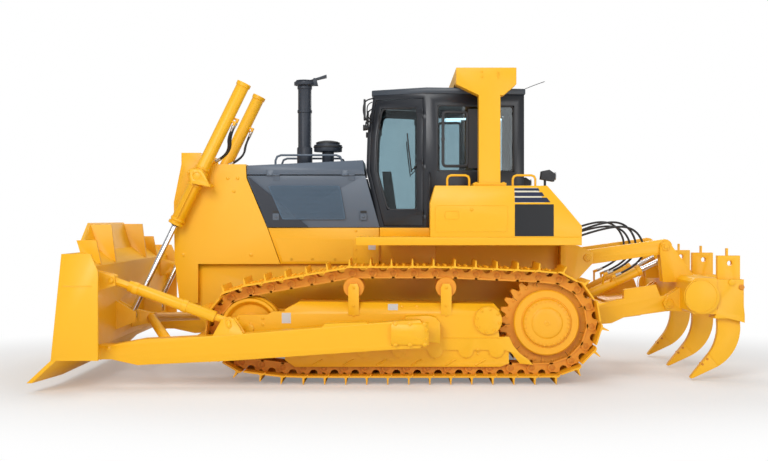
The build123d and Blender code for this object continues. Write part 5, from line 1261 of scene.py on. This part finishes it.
# ---- Plates and castings ------------------------------------------------------------------------
# Every node that no piece above stands in for keeps its own form. Its plate edges are rounded off,
# except on the glass, the engine and the radiator's core.

body_of = {node: body for body, nodes in frame["record"]["behaviour"]["bodies"].items() for node in nodes}
slot_of = {part["node"]: part["material_slot"] for part in frame["record"]["subparts"]}


def rounded(node, radius):
    """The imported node's own mesh with its flat faces joined and its plate edges rounded off."""
    mesh = frame["nodes"][node].data.copy()
    shape = bmesh.new()
    shape.from_mesh(mesh)
    bmesh.ops.remove_doubles(shape, verts=shape.verts, dist=1e-5)
    bmesh.ops.dissolve_limit(shape, angle_limit=radians(0.6), verts=shape.verts, edges=shape.edges)
    for face in shape.faces:
        face.smooth = True
    shape.to_mesh(mesh)
    shape.free()
    made = bpy.data.objects.new(node + "_plate", mesh)
    scene.collection.objects.link(made)
    edges = made.modifiers.new("edges", "BEVEL")
    edges.width = radius
    edges.segments = 2
    edges.limit_method = "ANGLE"
    edges.angle_limit = radians(40)
    edges.harden_normals = True
    edges.use_clamp_overlap = True
    mesh.materials.clear()
    mesh.materials.append(paints[slot_of[node]])
    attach(made, body_of[node])
    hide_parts(node)
    return made


# Nodes that the pieces above stand in for, and nodes shown just as they are
MADE = {"lift_hoses_left", "lift_hoses_right", "ripper_hoses", "track_left", "track_right", "sprockets",
        "final_drives", "idlers", "rollers", "seat"}
PLAIN = {"radiator_core", "engine", "cab_glass", "door_glass_left", "door_glass_right"}
core = Finish("radiator_fins", metallic=0.6)
fins = core.node("ShaderNodeTexWave", {"bands_direction": "Z"}, {"Vector": core.at, "Scale": 90}, 1)
tubes = core.node("ShaderNodeTexWave", {"bands_direction": "Y"}, {"Vector": core.at, "Scale": 22}, 1)
core.put("Base Color", core.mix(fins * tubes, (0.015, 0.015, 0.016), (0.11, 0.11, 0.115)))
core.put("Roughness", 0.55 + 0.15 * core.noise(12))
core.bump(fins + tubes, 0.003, 0.6)
for node in frame["nodes"]:
    if node in MADE:
        continue
    if node in PLAIN:
        cad = frame["nodes"][node]
        cad.data.materials.clear()
        cad.data.materials.append(core.material if node == "radiator_core" else paints[slot_of[node]])
    elif node == "cab_roof":
        roof = rounded(node, 0.012)
        roof.data.materials[0] = roof_slate
    else:
        rounded(node, 0.004)
